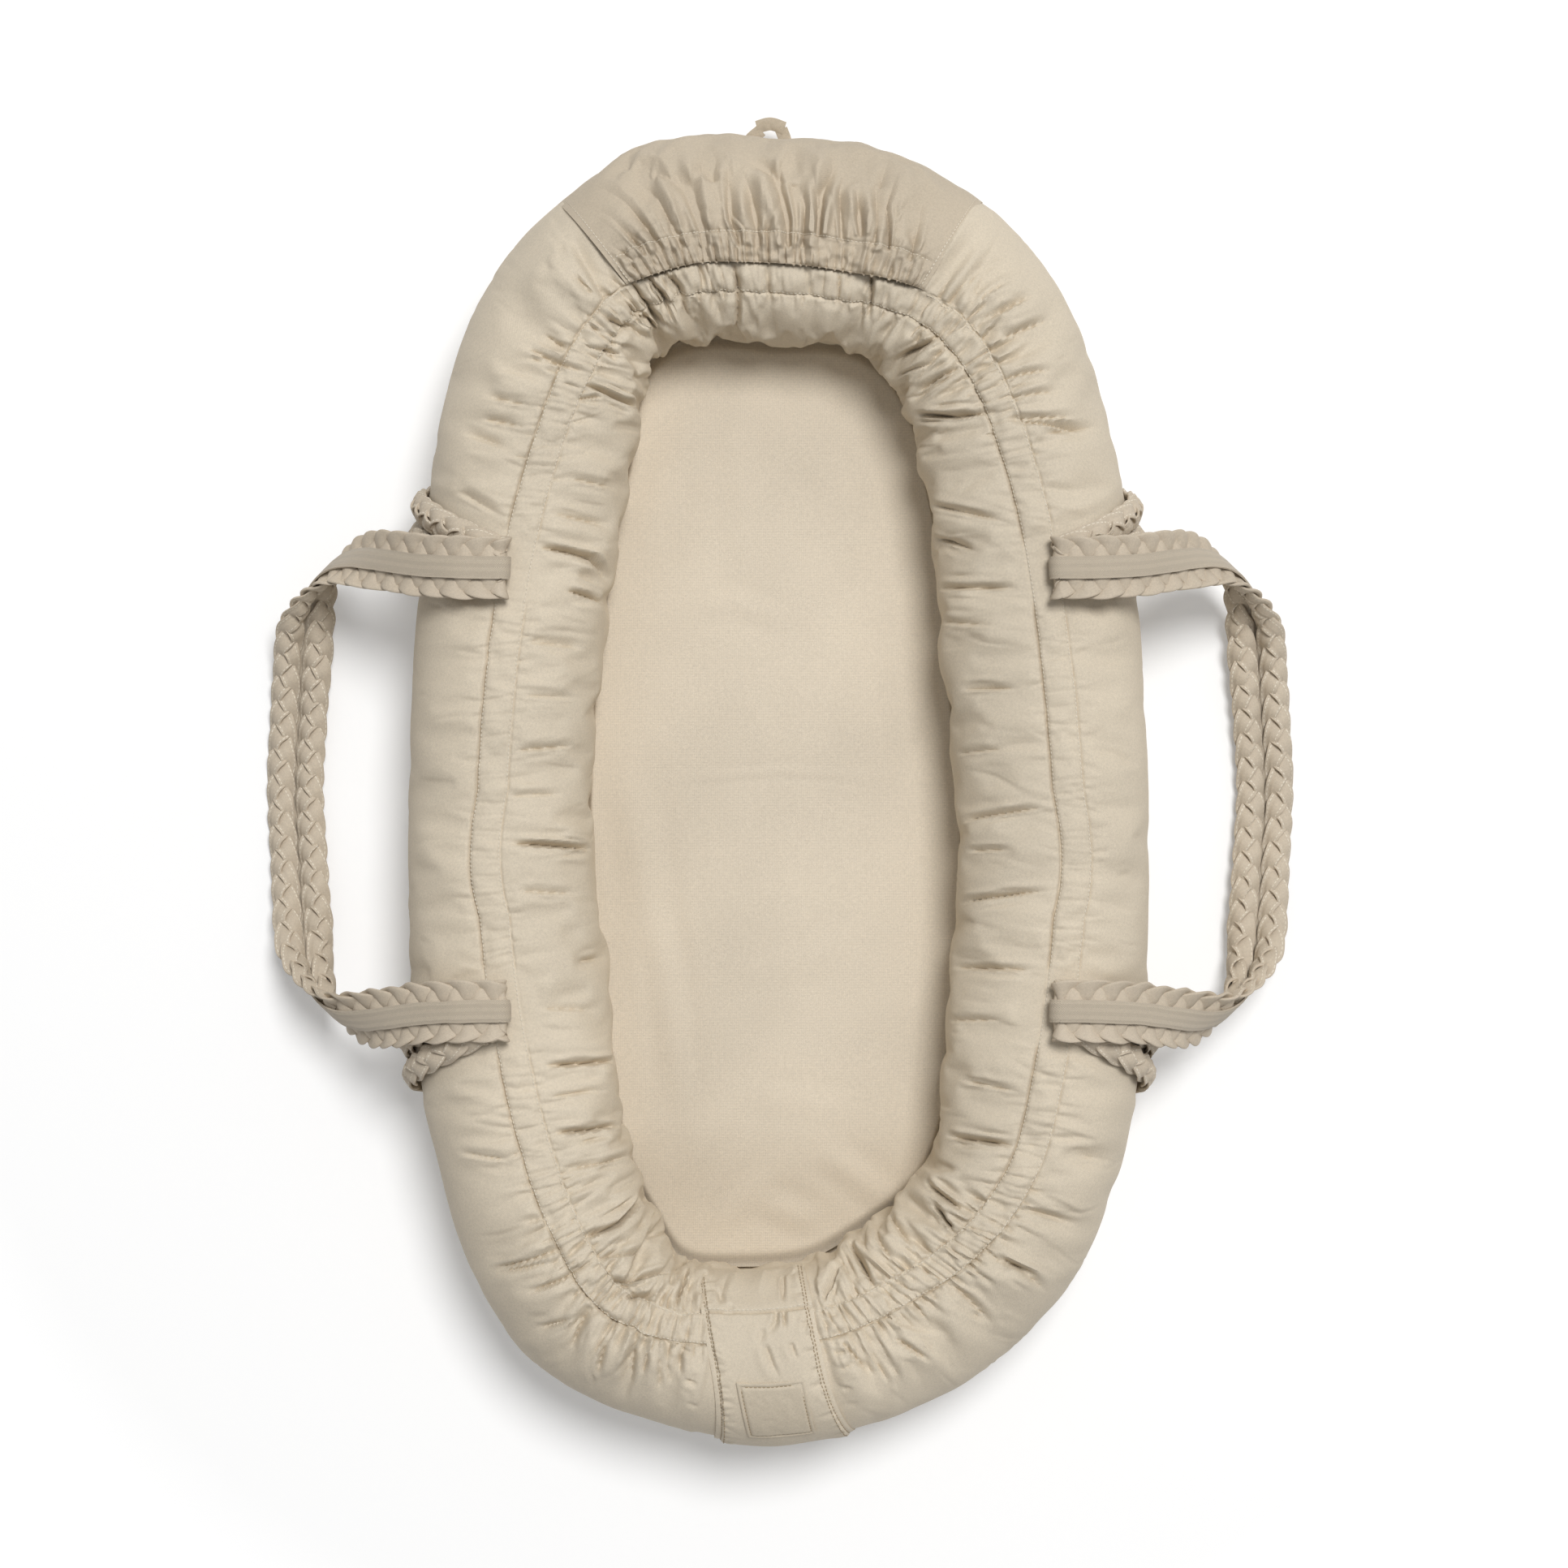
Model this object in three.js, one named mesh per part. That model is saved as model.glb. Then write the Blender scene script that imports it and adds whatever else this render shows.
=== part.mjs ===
// Infant lounger: a flat oval mattress inside a stuffed bumper ring with a stitched casing on its crest,
// a gathered pocket over the head end, a band with a bare patch over the foot end, a hang loop and two
// carrying handles, each a pair of braids joined by a tape. The origin is at the middle of the underside,
// the head end points along +Y and the part stands on z = 0. All sizes are in millimetres.

import * as THREE from 'three';

// Overall sizes of the ring
const ring_length = 901;
const ring_width = 509;
const bumper_width = 128;
const bumper_height = 131;
const widest_height = 62;
const rim_height = 80;
const heel_width = 26;
const fullness = 2.15;

// Cloth, gaps and the base
const gap = 0.3;
const cloth = 1.6;
const base_thickness = 3;
const base_border = 2;

// Casing on the crest, with the elastic inside it
const casing_width = 21.5;
const seam_depth = 2.5;
const seam_margin = 4;
const backing_thickness = 1;
const backing_border = 4;
const elastic_thickness = 1.9;
const elastic_inset = 3.5;
const filling_flat_inset = 4;

// Mattress and lying surface
const mattress_edge = 24;
const mattress_crown = 4;
const floor_cloth = 2;

// Pocket over the head end
const pocket_elastic_thickness = 1.2;
const pocket_elastic_width = 12;
const pocket_hem = 4;
const pocket_fold_height = 3.2;
const pocket_fold_count = 11;
const pocket_left_share = 0.938;
const pocket_right_share = 0.0828;

// Band and patch over the foot end
const band_width_outside = 97;
const band_width_inside = 76;
const band_place_share = 0.511;
const band_rise = 1.1;
const patch_size = 45;
const patch_thickness = 1.1;
const patch_crest_distance = 23;

// Hang loop at the head end
const loop_tape_width = 8;
const loop_tape_thickness = 1.6;
const loop_width = 35;
const loop_length = 27;
const loop_height = 14;
const loop_tilt = 20;

// Handles: two braids side by side, joined by a tape on one face
const braid_width = 21;
const braid_thickness = 5.6;
const braid_share = 0.7;
const strap_tape_width = 15;
const strap_tape_thickness = 1.1;
const strap_gap = 0.9;
const handle_spacing = 294;
const handle_reach = 159;
const grip_height = 6.5;
const fold_inset = 3.5;
const anchor_splay = 46;
const anchor_gap = 0.7;
const twist_lift = 45;
const grip_tilt = 8;

// Angles round the bumper's section, in degrees: rows of the outer wall, and the pocket's hem
const wall_angles = [-90, -55, -25, 0];
const hem_angle = 80;

// Steps of the curves
const steps_per_station = 2;
const handle_steps = 50;
const pocket_steps = 44;
const band_steps = 8;
const patch_steps = 4;

// Half sizes and heights that follow from the sizes above
const half_length = ring_length / 2;
const half_width = ring_width / 2;
const opening_half_length = half_length - bumper_width;
const opening_half_width = half_width - bumper_width;
const seat_height = base_thickness + gap;
const strap_thickness = braid_thickness + strap_gap + strap_tape_thickness;
const hinge_height = bumper_height + anchor_gap + strap_thickness + gap / 2;
const pocket_lift = gap + pocket_elastic_thickness + gap + cloth;
const floor_edge = seat_height + mattress_edge + gap + floor_cloth;

// Outlines in plan, station by station and clockwise from the head: x as a share of the half width
// and y as a share of the half length, then the seam's place across the bumper as a share of its width
const outer_shares = [
  [-0.039, 0.99], [0.216, 0.974], [0.468, 0.923], [0.656, 0.837], [0.802, 0.713],
  [0.888, 0.562], [0.947, 0.413], [0.978, 0.222], [0.998, 0], [0.998, -0.2],
  [0.982, -0.411], [0.916, -0.582], [0.784, -0.755], [0.562, -0.879], [0.271, -0.962],
  [-0.04, -0.993], [-0.354, -0.958], [-0.648, -0.879], [-0.821, -0.741], [-0.927, -0.555],
  [-0.98, -0.411], [-0.998, -0.2], [-0.998, 0], [-0.982, 0.222], [-0.956, 0.413],
  [-0.912, 0.562], [-0.817, 0.733], [-0.648, 0.862], [-0.35, 0.976],
];
const rim_shares = [
  [-0.04, 0.949], [0.285, 0.949], [0.49, 0.921], [0.632, 0.862], [0.711, 0.791],
  [0.759, 0.701], [0.83, 0.558], [0.88, 0.31], [0.957, 0], [0.972, -0.248],
  [0.9, -0.543], [0.846, -0.744], [0.68, -0.868], [0.395, -0.952], [0.126, -1.008],
  [-0.213, -1.02], [-0.522, -1.008], [-0.66, -0.921], [-0.767, -0.831], [-0.846, -0.713],
  [-0.9, -0.546], [-0.985, -0.248], [-1.004, 0], [-0.957, 0.295], [-0.86, 0.558],
  [-0.767, 0.744], [-0.735, 0.843], [-0.632, 0.93], [-0.379, 0.961],
];
const seam_shares = [
  0.67, 0.69, 0.647, 0.569, 0.518, 0.47, 0.44, 0.393, 0.376, 0.376,
  0.42, 0.455, 0.548, 0.597, 0.62, 0.65, 0.6, 0.52, 0.516, 0.487,
  0.457, 0.41, 0.41, 0.434, 0.478, 0.533, 0.6, 0.645, 0.684,
];

// One half of a handle from its fold to the middle of its grip: shares of the reach, of half the
// spacing of the folds and of the drop from the fold to the grip
const handle_route_shares = [
  [0, 1, 0], [0.1, 1, 0], [0.2, 1.004, 0.012], [0.35, 1.018, 0.1], [0.5, 1.045, 0.235],
  [0.648, 1.061, 0.408], [0.76, 1.04, 0.55], [0.85, 0.965, 0.7], [0.93, 0.79, 0.86],
  [0.965, 0.56, 0.945], [0.985, 0.3, 0.985], [1, 0, 1],
];
const twist_start_share = 0.2;
const twist_end_share = 0.82;

const colours = {
  sateen: 0xbfb49c,
  lining: 0xc9bca2,
  filling: 0xf1eee6,
  foam: 0xefe9d8,
  elastic: 0xe6e1d4,
  tape: 0xb9b19c,
};

// Closed curves through the stations
const station_count = outer_shares.length;
const band_station = band_place_share * station_count;
const outerLine = closedCurve(outer_shares, half_width, half_length);
const rimLine = closedCurve(rim_shares, opening_half_width, opening_half_length);
const seamLine = closedCurve(seam_shares.map((share) => [share, 0]), 1, 1);

function closedCurve(shares, width, length) {
  const points = shares.map(([x, y]) => new THREE.Vector3(x * width, y * length, 0));
  return new THREE.CatmullRomCurve3(points, true, 'centripetal');
}

function atStation(curve, station) {
  const turns = station / station_count;
  return curve.getPoint(turns - Math.floor(turns));
}

// The bumper's section at a station: its outer point, the way inward and its width
function sectionAt(station) {
  const outer = atStation(outerLine, station);
  const inward = atStation(rimLine, station).sub(outer);
  const width = inward.length();
  return { outer, inward: inward.divideScalar(width), width };
}

function placeAcross(section, distance, height) {
  const point = section.outer.clone().addScaledVector(section.inward, distance);
  point.z = height;
  return point;
}

// A point of the bumper's surface: the angle runs round the section, -90 at the outer foot, 0 at the
// widest line, 90 at the crest, 180 at the inner rim and 270 at the inner foot; lift is along the normal
function bumperPoint(station, angle, lift) {
  const section = sectionAt(station);
  const radians = THREE.MathUtils.degToRad(angle);
  const across = Math.abs(Math.cos(radians)) ** (2 / fullness);
  const rise = Math.abs(Math.sin(radians)) ** (2 / fullness);
  const half = section.width / 2;
  if (angle < 0) {
    const height = widest_height - (widest_height - seat_height + lift) * rise;
    return placeAcross(section, heel_width - (heel_width + lift) * across, height);
  }
  if (angle <= 90) {
    const height = widest_height + (bumper_height - widest_height + lift) * rise;
    return placeAcross(section, half - (half + lift) * across, height);
  }
  if (angle <= 180) {
    const height = rim_height + (bumper_height - rim_height + lift) * rise;
    return placeAcross(section, half + (half + lift) * across, height);
  }
  const height = rim_height - (rim_height - seat_height + lift) * rise;
  return placeAcross(section, section.width - heel_width + (heel_width + lift) * across, height);
}

// The angle at a share of the way across the top, from the outer point to the rim
function topAngle(share) {
  const across = Math.abs(1 - 2 * share) ** (fullness / 2);
  const angle = THREE.MathUtils.radToDeg(Math.acos(across));
  return share <= 0.5 ? angle : 180 - angle;
}

// The angle at which the inner wall stands at a height
function innerWallAngle(height) {
  const rise = (rim_height - height) / (rim_height - seat_height);
  return 180 + THREE.MathUtils.radToDeg(Math.asin(rise ** (fullness / 2)));
}

// Angles of the casing's lines at a station; offset moves a line inward by a distance
function casingAngle(station, offset) {
  const share = atStation(seamLine, station).x;
  return topAngle(share + offset / sectionAt(station).width);
}

function surfaceWay(station, angle) {
  const step = 0.02;
  const along = bumperPoint(station + step, angle, 0).sub(bumperPoint(station - step, angle, 0));
  const across = bumperPoint(station, angle + 1, 0).sub(bumperPoint(station, angle - 1, 0));
  along.divideScalar(2 * step);
  across.divideScalar(2);
  return { along, across, normal: across.clone().cross(along).normalize() };
}

function degreesFor(distance, station, angle) {
  return distance / surfaceWay(station, angle).across.length();
}

function stationsFor(distance, station, angle) {
  return distance / surfaceWay(station, angle).along.length();
}

// Joins loops of equal length into one closed body. The loop of a strip of cloth is its outer points
// followed by its inner points in reverse: its ends close straight across, its two faces split alike
function loftGeometry(loops, closed, strip) {
  const size = loops[0].length;
  const positions = loops.flat().flatMap((point) => [point.x, point.y, point.z]);
  const index = [];
  const spans = closed ? loops.length : loops.length - 1;
  for (let span = 0; span < spans; span++) {
    const near = span * size;
    const far = ((span + 1) % loops.length) * size;
    for (let corner = 0; corner < size; corner++) {
      const next = (corner + 1) % size;
      if (strip && corner >= size / 2) {
        index.push(near + corner, far + corner, near + next);
        index.push(near + next, far + corner, far + next);
      } else {
        index.push(near + corner, far + corner, far + next);
        index.push(near + corner, far + next, near + next);
      }
    }
  }
  if (!closed) {
    closeEnd(index, positions, 0, size, strip, true);
    closeEnd(index, positions, (loops.length - 1) * size, size, strip, false);
  }
  if (signedVolume(positions, index) < 0) {
    index.reverse();
  }
  const geometry = new THREE.BufferGeometry();
  geometry.setAttribute('position', new THREE.Float32BufferAttribute(positions, 3));
  geometry.setIndex(index);
  geometry.computeVertexNormals();
  return geometry;
}

function closeEnd(index, positions, start, size, strip, first) {
  const face = (a, b, c) => (first ? index.push(a, b, c) : index.push(c, b, a));
  if (!strip) {
    const centre = positions.length / 3;
    const sum = [0, 0, 0];
    for (let corner = 0; corner < size; corner++) {
      sum.forEach((_, axis) => { sum[axis] += positions[(start + corner) * 3 + axis] / size; });
    }
    positions.push(...sum);
    for (let corner = 0; corner < size; corner++) {
      face(centre, start + corner, start + ((corner + 1) % size));
    }
    return;
  }
  for (let corner = 0; corner < size / 2 - 1; corner++) {
    const mate = size - 1 - corner;
    face(start + corner, start + corner + 1, start + mate);
    face(start + corner + 1, start + mate - 1, start + mate);
  }
}

function signedVolume(positions, index) {
  const point = (i) => new THREE.Vector3().fromArray(positions, index[i] * 3);
  let volume = 0;
  for (let i = 0; i < index.length; i += 3) {
    volume += point(i).dot(point(i + 1).cross(point(i + 2)));
  }
  return volume;
}

function stations(first, last, steps) {
  return Array.from({ length: steps + 1 }, (_, step) => first + ((last - first) * step) / steps);
}

const ring_stations = stations(0, station_count, station_count * steps_per_station).slice(0, -1);

// A strip of cloth at a station, from places { angle, lift } on its outer face
function stripLoop(station, places, thickness) {
  const outside = places.map(({ angle, lift }) => bumperPoint(station, angle, lift));
  const inside = places.map(({ angle, lift }) => bumperPoint(station, angle, lift - thickness));
  return [...outside, ...inside.reverse()];
}

function ringStrip(placesAt, thickness) {
  const loops = ring_stations.map((station) => stripLoop(station, placesAt(station), thickness));
  return loftGeometry(loops, true, true);
}

const wall_shoulder_shares = [0.4, 0.72, 1];

// Places of the outer wall, from the foot up to the casing's outer seam
function wallPlaces(station) {
  const shoulder = casingAngle(station, -seam_margin);
  const upper = wall_shoulder_shares.map((share) => share * shoulder);
  const places = [...wall_angles, ...upper].map((angle) => ({ angle, lift: 0 }));
  return [...places, { angle: casingAngle(station, -gap), lift: -seam_depth }];
}

// Places of the casing and the inner wall, from the casing's outer seam down to the lying surface
function liningPlaces(station) {
  const shoulder = casingAngle(station, casing_width + seam_margin);
  const foot = innerWallAngle(floor_edge + gap);
  return [
    { angle: casingAngle(station, gap), lift: -seam_depth },
    { angle: casingAngle(station, seam_margin), lift: 0 },
    { angle: casingAngle(station, casing_width - seam_margin), lift: 0 },
    { angle: casingAngle(station, casing_width), lift: -seam_depth },
    { angle: shoulder, lift: 0 },
    { angle: THREE.MathUtils.lerp(shoulder, 180, 0.5), lift: 0 },
    { angle: 180, lift: 0 },
    { angle: THREE.MathUtils.lerp(180, foot, 0.5), lift: 0 },
    { angle: foot, lift: 0 },
  ];
}

function backingPlaces(station) {
  const lift = -(seam_depth + cloth + gap);
  const offsets = [-backing_border, casing_width / 2, casing_width + backing_border];
  return offsets.map((offset) => ({ angle: casingAngle(station, offset), lift }));
}

function elasticPlaces(station) {
  const lift = -(seam_depth + cloth) + elastic_thickness;
  const offsets = [elastic_inset, casing_width / 2, casing_width - elastic_inset];
  return offsets.map((offset) => ({ angle: casingAngle(station, offset), lift }));
}

// The stuffed roll fills the covers and sinks under the casing's backing
function fillingLoop(station) {
  const under_cloth = -(cloth + gap);
  const under_backing = -(seam_depth + cloth + gap + backing_thickness + gap);
  const section = sectionAt(station);
  const wall = wallPlaces(station).slice(0, -2);
  const lining = liningPlaces(station).slice(5);
  const sunk = [-backing_border, casing_width + backing_border];
  return [
    placeAcross(section, section.width - heel_width - filling_flat_inset, seat_height),
    placeAcross(section, heel_width + filling_flat_inset, seat_height),
    ...wall.map(({ angle }) => bumperPoint(station, angle, under_cloth)),
    ...sunk.map((offset) => bumperPoint(station, casingAngle(station, offset), under_backing)),
    ...lining.map(({ angle }) => bumperPoint(station, angle, under_cloth)),
    bumperPoint(station, 270, under_cloth),
  ];
}

const oval_shares = [0.35, 0.8, 1];

// A crowned oval inside the bumper: loops run from the middle of the underside to that of the top
function crownedOval(bottom, top, crown_below, crown_above) {
  const edge = ring_stations.map((station) => {
    return bumperPoint(station, innerWallAngle(floor_edge + gap), -cloth);
  });
  const loop = (share, height, crown) => edge.map((point) => {
    return new THREE.Vector3(point.x * share, point.y * share, height + crown * (1 - share ** 2));
  });
  const below = oval_shares.map((share) => loop(share, bottom, crown_below));
  const above = oval_shares.map((share) => loop(share, top, crown_above));
  return loftGeometry([...below, ...above.reverse()], false, false);
}

function basePanel() {
  const points = ring_stations.map((station) => {
    const point = bumperPoint(station, -90, 0);
    point.addScaledVector(sectionAt(station).inward, -base_border);
    return new THREE.Vector2(point.x, point.y);
  });
  const settings = { depth: base_thickness, bevelEnabled: false };
  return new THREE.ExtrudeGeometry(new THREE.Shape(points), settings);
}

// Pocket: its folds are tallest at the elastic hem and die out towards the outer foot
const pocket_first = (pocket_left_share - 1) * station_count;
const pocket_last = pocket_right_share * station_count;
const pocket_edge_share = 0.05;
const pocket_depth_shares = [0, 0.1, 0.3, 0.65, 0.9, 1, 0.8, 0.6];

function pocketLoop(share) {
  const station = THREE.MathUtils.lerp(pocket_first, pocket_last, share);
  const hem = casingAngle(station, -gap);
  const casing = degreesFor(pocket_hem + pocket_elastic_width, station, hem_angle);
  const inside = Math.min(1, Math.min(share, 1 - share) / pocket_edge_share);
  const wave = 0.5 - 0.5 * Math.cos(2 * Math.PI * pocket_fold_count * share);
  const base = THREE.MathUtils.lerp(gap + cloth, pocket_lift, inside);
  const wall = wallPlaces(station).map(({ angle }) => angle);
  const angles = [...wall.slice(1, -2), hem - casing, wall.at(-2), hem];
  const places = angles.map((angle, place) => {
    return { angle, lift: base + pocket_fold_height * wave * inside * pocket_depth_shares[place] };
  });
  return stripLoop(station, places, cloth);
}

function headPocket() {
  const loops = stations(0, 1, pocket_steps).map((share) => pocketLoop(share));
  return loftGeometry(loops, false, true);
}

function pocketElastic() {
  const shares = stations(pocket_edge_share, 1 - pocket_edge_share, pocket_steps / 2);
  const loops = shares.map((share) => {
    const station = THREE.MathUtils.lerp(pocket_first, pocket_last, share);
    const near = casingAngle(station, -gap) - degreesFor(pocket_hem, station, hem_angle);
    const far = near - degreesFor(pocket_elastic_width, station, hem_angle);
    const lift = gap + pocket_elastic_thickness;
    return stripLoop(station, [{ angle: far, lift }, { angle: near, lift }], pocket_elastic_thickness);
  });
  return loftGeometry(loops, false, true);
}

// Band: tapers from the outer foot over the crest to the inner wall
function footBand() {
  const wall = wallPlaces(band_station).slice(1);
  const lining = liningPlaces(band_station).slice(0, -2);
  const angles = [...wall, ...lining].map(({ angle }) => angle);
  const lift = gap + cloth + band_rise;
  const loops = stations(-0.5, 0.5, band_steps).map((side) => {
    const places = angles.map((angle) => {
      const inward = THREE.MathUtils.smoothstep(angle, 0, 90);
      const width = THREE.MathUtils.lerp(band_width_outside, band_width_inside, inward);
      return { angle, station: band_station + stationsFor(side * width, band_station, angle) };
    });
    const outside = places.map(({ angle, station }) => bumperPoint(station, angle, lift));
    const inside = places.map(({ angle, station }) => bumperPoint(station, angle, lift - cloth));
    return [...outside, ...inside.reverse()];
  });
  return loftGeometry(loops, false, true);
}

// A point at a distance along and across from a place on the bumper, measured on its surface
function surfacePoint(station, angle, along, across, lift) {
  const moved = angle + degreesFor(across, station, angle);
  return bumperPoint(station + stationsFor(along, station, moved), moved, lift);
}

function patch() {
  const middle = casingAngle(band_station, 0);
  const centre = middle - degreesFor(patch_crest_distance + patch_size / 2, band_station, middle);
  const lift = gap + cloth + band_rise + gap + patch_thickness;
  const loops = stations(-patch_size / 2, patch_size / 2, patch_steps).map((along) => {
    const rows = stations(-patch_size / 2, patch_size / 2, patch_steps);
    const outside = rows.map((across) => surfacePoint(band_station, centre, along, across, lift));
    const inside = rows.map((across) => {
      return surfacePoint(band_station, centre, along, across, lift - patch_thickness);
    });
    return [...outside, ...inside.reverse()];
  });
  return loftGeometry(loops, false, true);
}

// Hang loop: a flat arch of tape whose two ends lie on the hinge line at the outer wall
function hangLoop() {
  const outer_half = loop_width / 2;
  const inner_half = outer_half - loop_tape_width;
  const shape = new THREE.Shape();
  shape.moveTo(-outer_half, 0);
  shape.lineTo(-inner_half, 0);
  shape.absellipse(0, 0, inner_half, loop_length - loop_tape_width, Math.PI, 0, true);
  shape.lineTo(outer_half, 0);
  shape.absellipse(0, 0, outer_half, loop_length, 0, Math.PI, false);
  const settings = { depth: loop_tape_thickness, bevelEnabled: false, curveSegments: 8 };
  const geometry = new THREE.ExtrudeGeometry(shape, settings);
  geometry.translate(0, 0, -loop_tape_thickness / 2);
  return geometry;
}

function loopPlace() {
  const rise = (widest_height - loop_height) / (widest_height - seat_height);
  const angle = -THREE.MathUtils.radToDeg(Math.asin(rise ** (fullness / 2)));
  const point = bumperPoint(0, angle, pocket_lift + gap + 2 * loop_tape_thickness);
  return new THREE.Vector3(point.x, point.y, loop_height);
}

// Six-sided section of a braid and four-sided section of a tape, as [across, along the normal]
function braidSection(side) {
  const centre = (side * (braid_width + gap)) / 2;
  const half = braid_width / 2;
  const rise = braid_thickness / 2;
  const middle = (strap_gap + strap_tape_thickness) / 2;
  return [
    [centre - half, middle],
    [centre - half * braid_share, middle + rise],
    [centre + half * braid_share, middle + rise],
    [centre + half, middle],
    [centre + half * braid_share, middle - rise],
    [centre - half * braid_share, middle - rise],
  ];
}

function tapeSection() {
  const half = strap_tape_width / 2;
  const face = -strap_thickness / 2;
  return [
    [half, face + strap_tape_thickness],
    [-half, face + strap_tape_thickness],
    [-half, face],
    [half, face],
  ];
}

const strap_sections = {
  outer_braid: braidSection(1),
  inner_braid: braidSection(-1),
  tape: tapeSection(),
};

// The station on one side of the ring, -1 left or 1 right, whose crest lies at a place along Y
function stationAt(side, place) {
  let [low, high] = side > 0 ? [station_count * 0.1, station_count * 0.42] : [
    station_count * 0.6, station_count * 0.92];
  for (let turn = 0; turn < 40; turn++) {
    const middle = (low + high) / 2;
    const beyond = bumperPoint(middle, casingAngle(middle, 0), 0).y > place;
    if (beyond === side > 0) {
      low = middle;
    } else {
      high = middle;
    }
  }
  return (low + high) / 2;
}

// The line that a handle turns about, just inside the casing's outer seam
function foldPlace(side) {
  const ends = [-handle_spacing / 2, handle_spacing / 2].map((place) => {
    const station = stationAt(side, place);
    return Math.abs(bumperPoint(station, casingAngle(station, 0), 0).x);
  });
  return side * (Math.min(...ends) - fold_inset);
}

// Handle: the strap leaves its fold with the tape up, twists a quarter turn and lies with the braids up
function handleFrames(side) {
  const drop = hinge_height + gap / 2 + strap_thickness / 2 - grip_height;
  const fold = Math.abs(foldPlace(side));
  const half = handle_route_shares.map(([reach, spacing, fall]) => new THREE.Vector3(
    fold + reach * handle_reach,
    (spacing * handle_spacing) / 2,
    grip_height + drop * (1 - fall),
  ));
  const back = half.slice(0, -1).reverse().map((point) => point.clone().setY(-point.y));
  const curve = new THREE.CatmullRomCurve3([...half, ...back], false, 'centripetal');
  return stations(0, 1, handle_steps).map((share) => {
    const toward = share <= 0.5 ? 1 : -1;
    const along_half = share <= 0.5 ? share * 2 : 2 - share * 2;
    const turned = THREE.MathUtils.smoothstep(along_half, twist_start_share, twist_end_share);
    const turn = (Math.PI / 2) * turned;
    const lift = THREE.MathUtils.degToRad(twist_lift * Math.sin(2 * turn) - grip_tilt * turned);
    const centre = curve.getPointAt(share);
    const tangent = curve.getTangentAt(share);
    if (share === 0 || share === 1) {
      tangent.set(toward, 0, 0);
    }
    const across = new THREE.Vector3(
      Math.cos(lift) * Math.sin(turn),
      -toward * Math.cos(lift) * Math.cos(turn),
      Math.sin(lift),
    );
    across.addScaledVector(tangent, -across.dot(tangent)).normalize();
    const normal = tangent.clone().cross(across).normalize();
    for (const vector of [centre, across, normal]) {
      vector.x *= side;
    }
    return { centre, across, normal };
  });
}

function sweepStrap(frames, section) {
  const loops = frames.map(({ centre, across, normal }) => section.map(([out, up]) => {
    return centre.clone().addScaledVector(across, out).addScaledVector(normal, up);
  }));
  return loftGeometry(loops, false, false);
}

// Anchor: the strap's other end, from the fold down the outer wall to the underside, splayed away
// from the handle's middle; it follows the wall's surface with its braids outward
function anchorLoops(side, end, section) {
  const fold = foldPlace(side);
  const start = stationAt(side, (end * handle_spacing) / 2);
  const seam = casingAngle(start, 0);
  const first = bumperPoint(start, seam, 0);
  const away = -side * end;
  const flat = section.map(([out, up]) => new THREE.Vector3(
    fold,
    first.y + end * out,
    bumper_height + anchor_gap + strap_thickness / 2 + up,
  ));
  const wall = wallPlaces(start).map(({ angle }) => angle).slice(1, -1).reverse();
  const angles = wall.flatMap((angle, place) => {
    return place === 0 ? [angle] : [(angle + wall[place - 1]) / 2, angle];
  });
  const loops = angles.map((angle) => {
    const share = (seam - angle) / (seam - angles.at(-1));
    const moved = anchor_splay * Math.sin((share * Math.PI) / 2);
    return section.map(([out, up]) => {
      const along = away * (moved + out);
      return surfacePoint(start, angle, along, 0, anchor_gap + strap_thickness / 2 + up);
    });
  });
  return [flat, ...loops];
}

function anchorGeometry(side, end, section) {
  return loftGeometry(anchorLoops(side, end, section), false, false);
}

const group = new THREE.Group();

function add(name, geometry, colour, roughness) {
  const material = new THREE.MeshStandardMaterial({ color: colour, roughness, metalness: 0 });
  const mesh = new THREE.Mesh(geometry, material);
  mesh.name = name;
  group.add(mesh);
  return mesh;
}

const mattress_top = seat_height + mattress_edge;
const mattress = crownedOval(seat_height, mattress_top, 0, mattress_crown);
const floor = crownedOval(floor_edge - floor_cloth, floor_edge, mattress_crown, mattress_crown);
const filling = loftGeometry(ring_stations.map(fillingLoop), true, false);

add('base_panel', basePanel(), colours.sateen, 0.8);
add('mattress_core', mattress, colours.foam, 0.9);
add('floor_panel', floor, colours.lining, 0.85);
add('bumper_filling', filling, colours.filling, 0.95);
add('outer_cover', ringStrip(wallPlaces, cloth), colours.sateen, 0.7);
add('inner_cover', ringStrip(liningPlaces, cloth), colours.sateen, 0.7);
add('casing_backing', ringStrip(backingPlaces, backing_thickness), colours.lining, 0.85);
add('casing_elastic', ringStrip(elasticPlaces, elastic_thickness), colours.elastic, 0.8);
add('head_pocket', headPocket(), colours.sateen, 0.7);
add('pocket_elastic', pocketElastic(), colours.elastic, 0.8);
add('foot_band', footBand(), colours.sateen, 0.7);
add('patch', patch(), colours.sateen, 0.7);

const loop = add('hang_loop', hangLoop(), colours.sateen, 0.75);
loop.position.copy(loopPlace());
loop.rotation.x = THREE.MathUtils.degToRad(loop_tilt);

for (const [side_name, side] of [['left', -1], ['right', 1]]) {
  const frames = handleFrames(side);
  for (const [piece, section] of Object.entries(strap_sections)) {
    const colour = piece === 'tape' ? colours.tape : colours.sateen;
    add(`${side_name}_handle_${piece}`, sweepStrap(frames, section), colour, 0.75);
    for (const [end_name, end] of [['head', 1], ['foot', -1]]) {
      const name = `${side_name}_${end_name}_anchor_${piece}`;
      add(name, anchorGeometry(side, end, section), colour, 0.75);
    }
  }
}

export default group;
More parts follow.
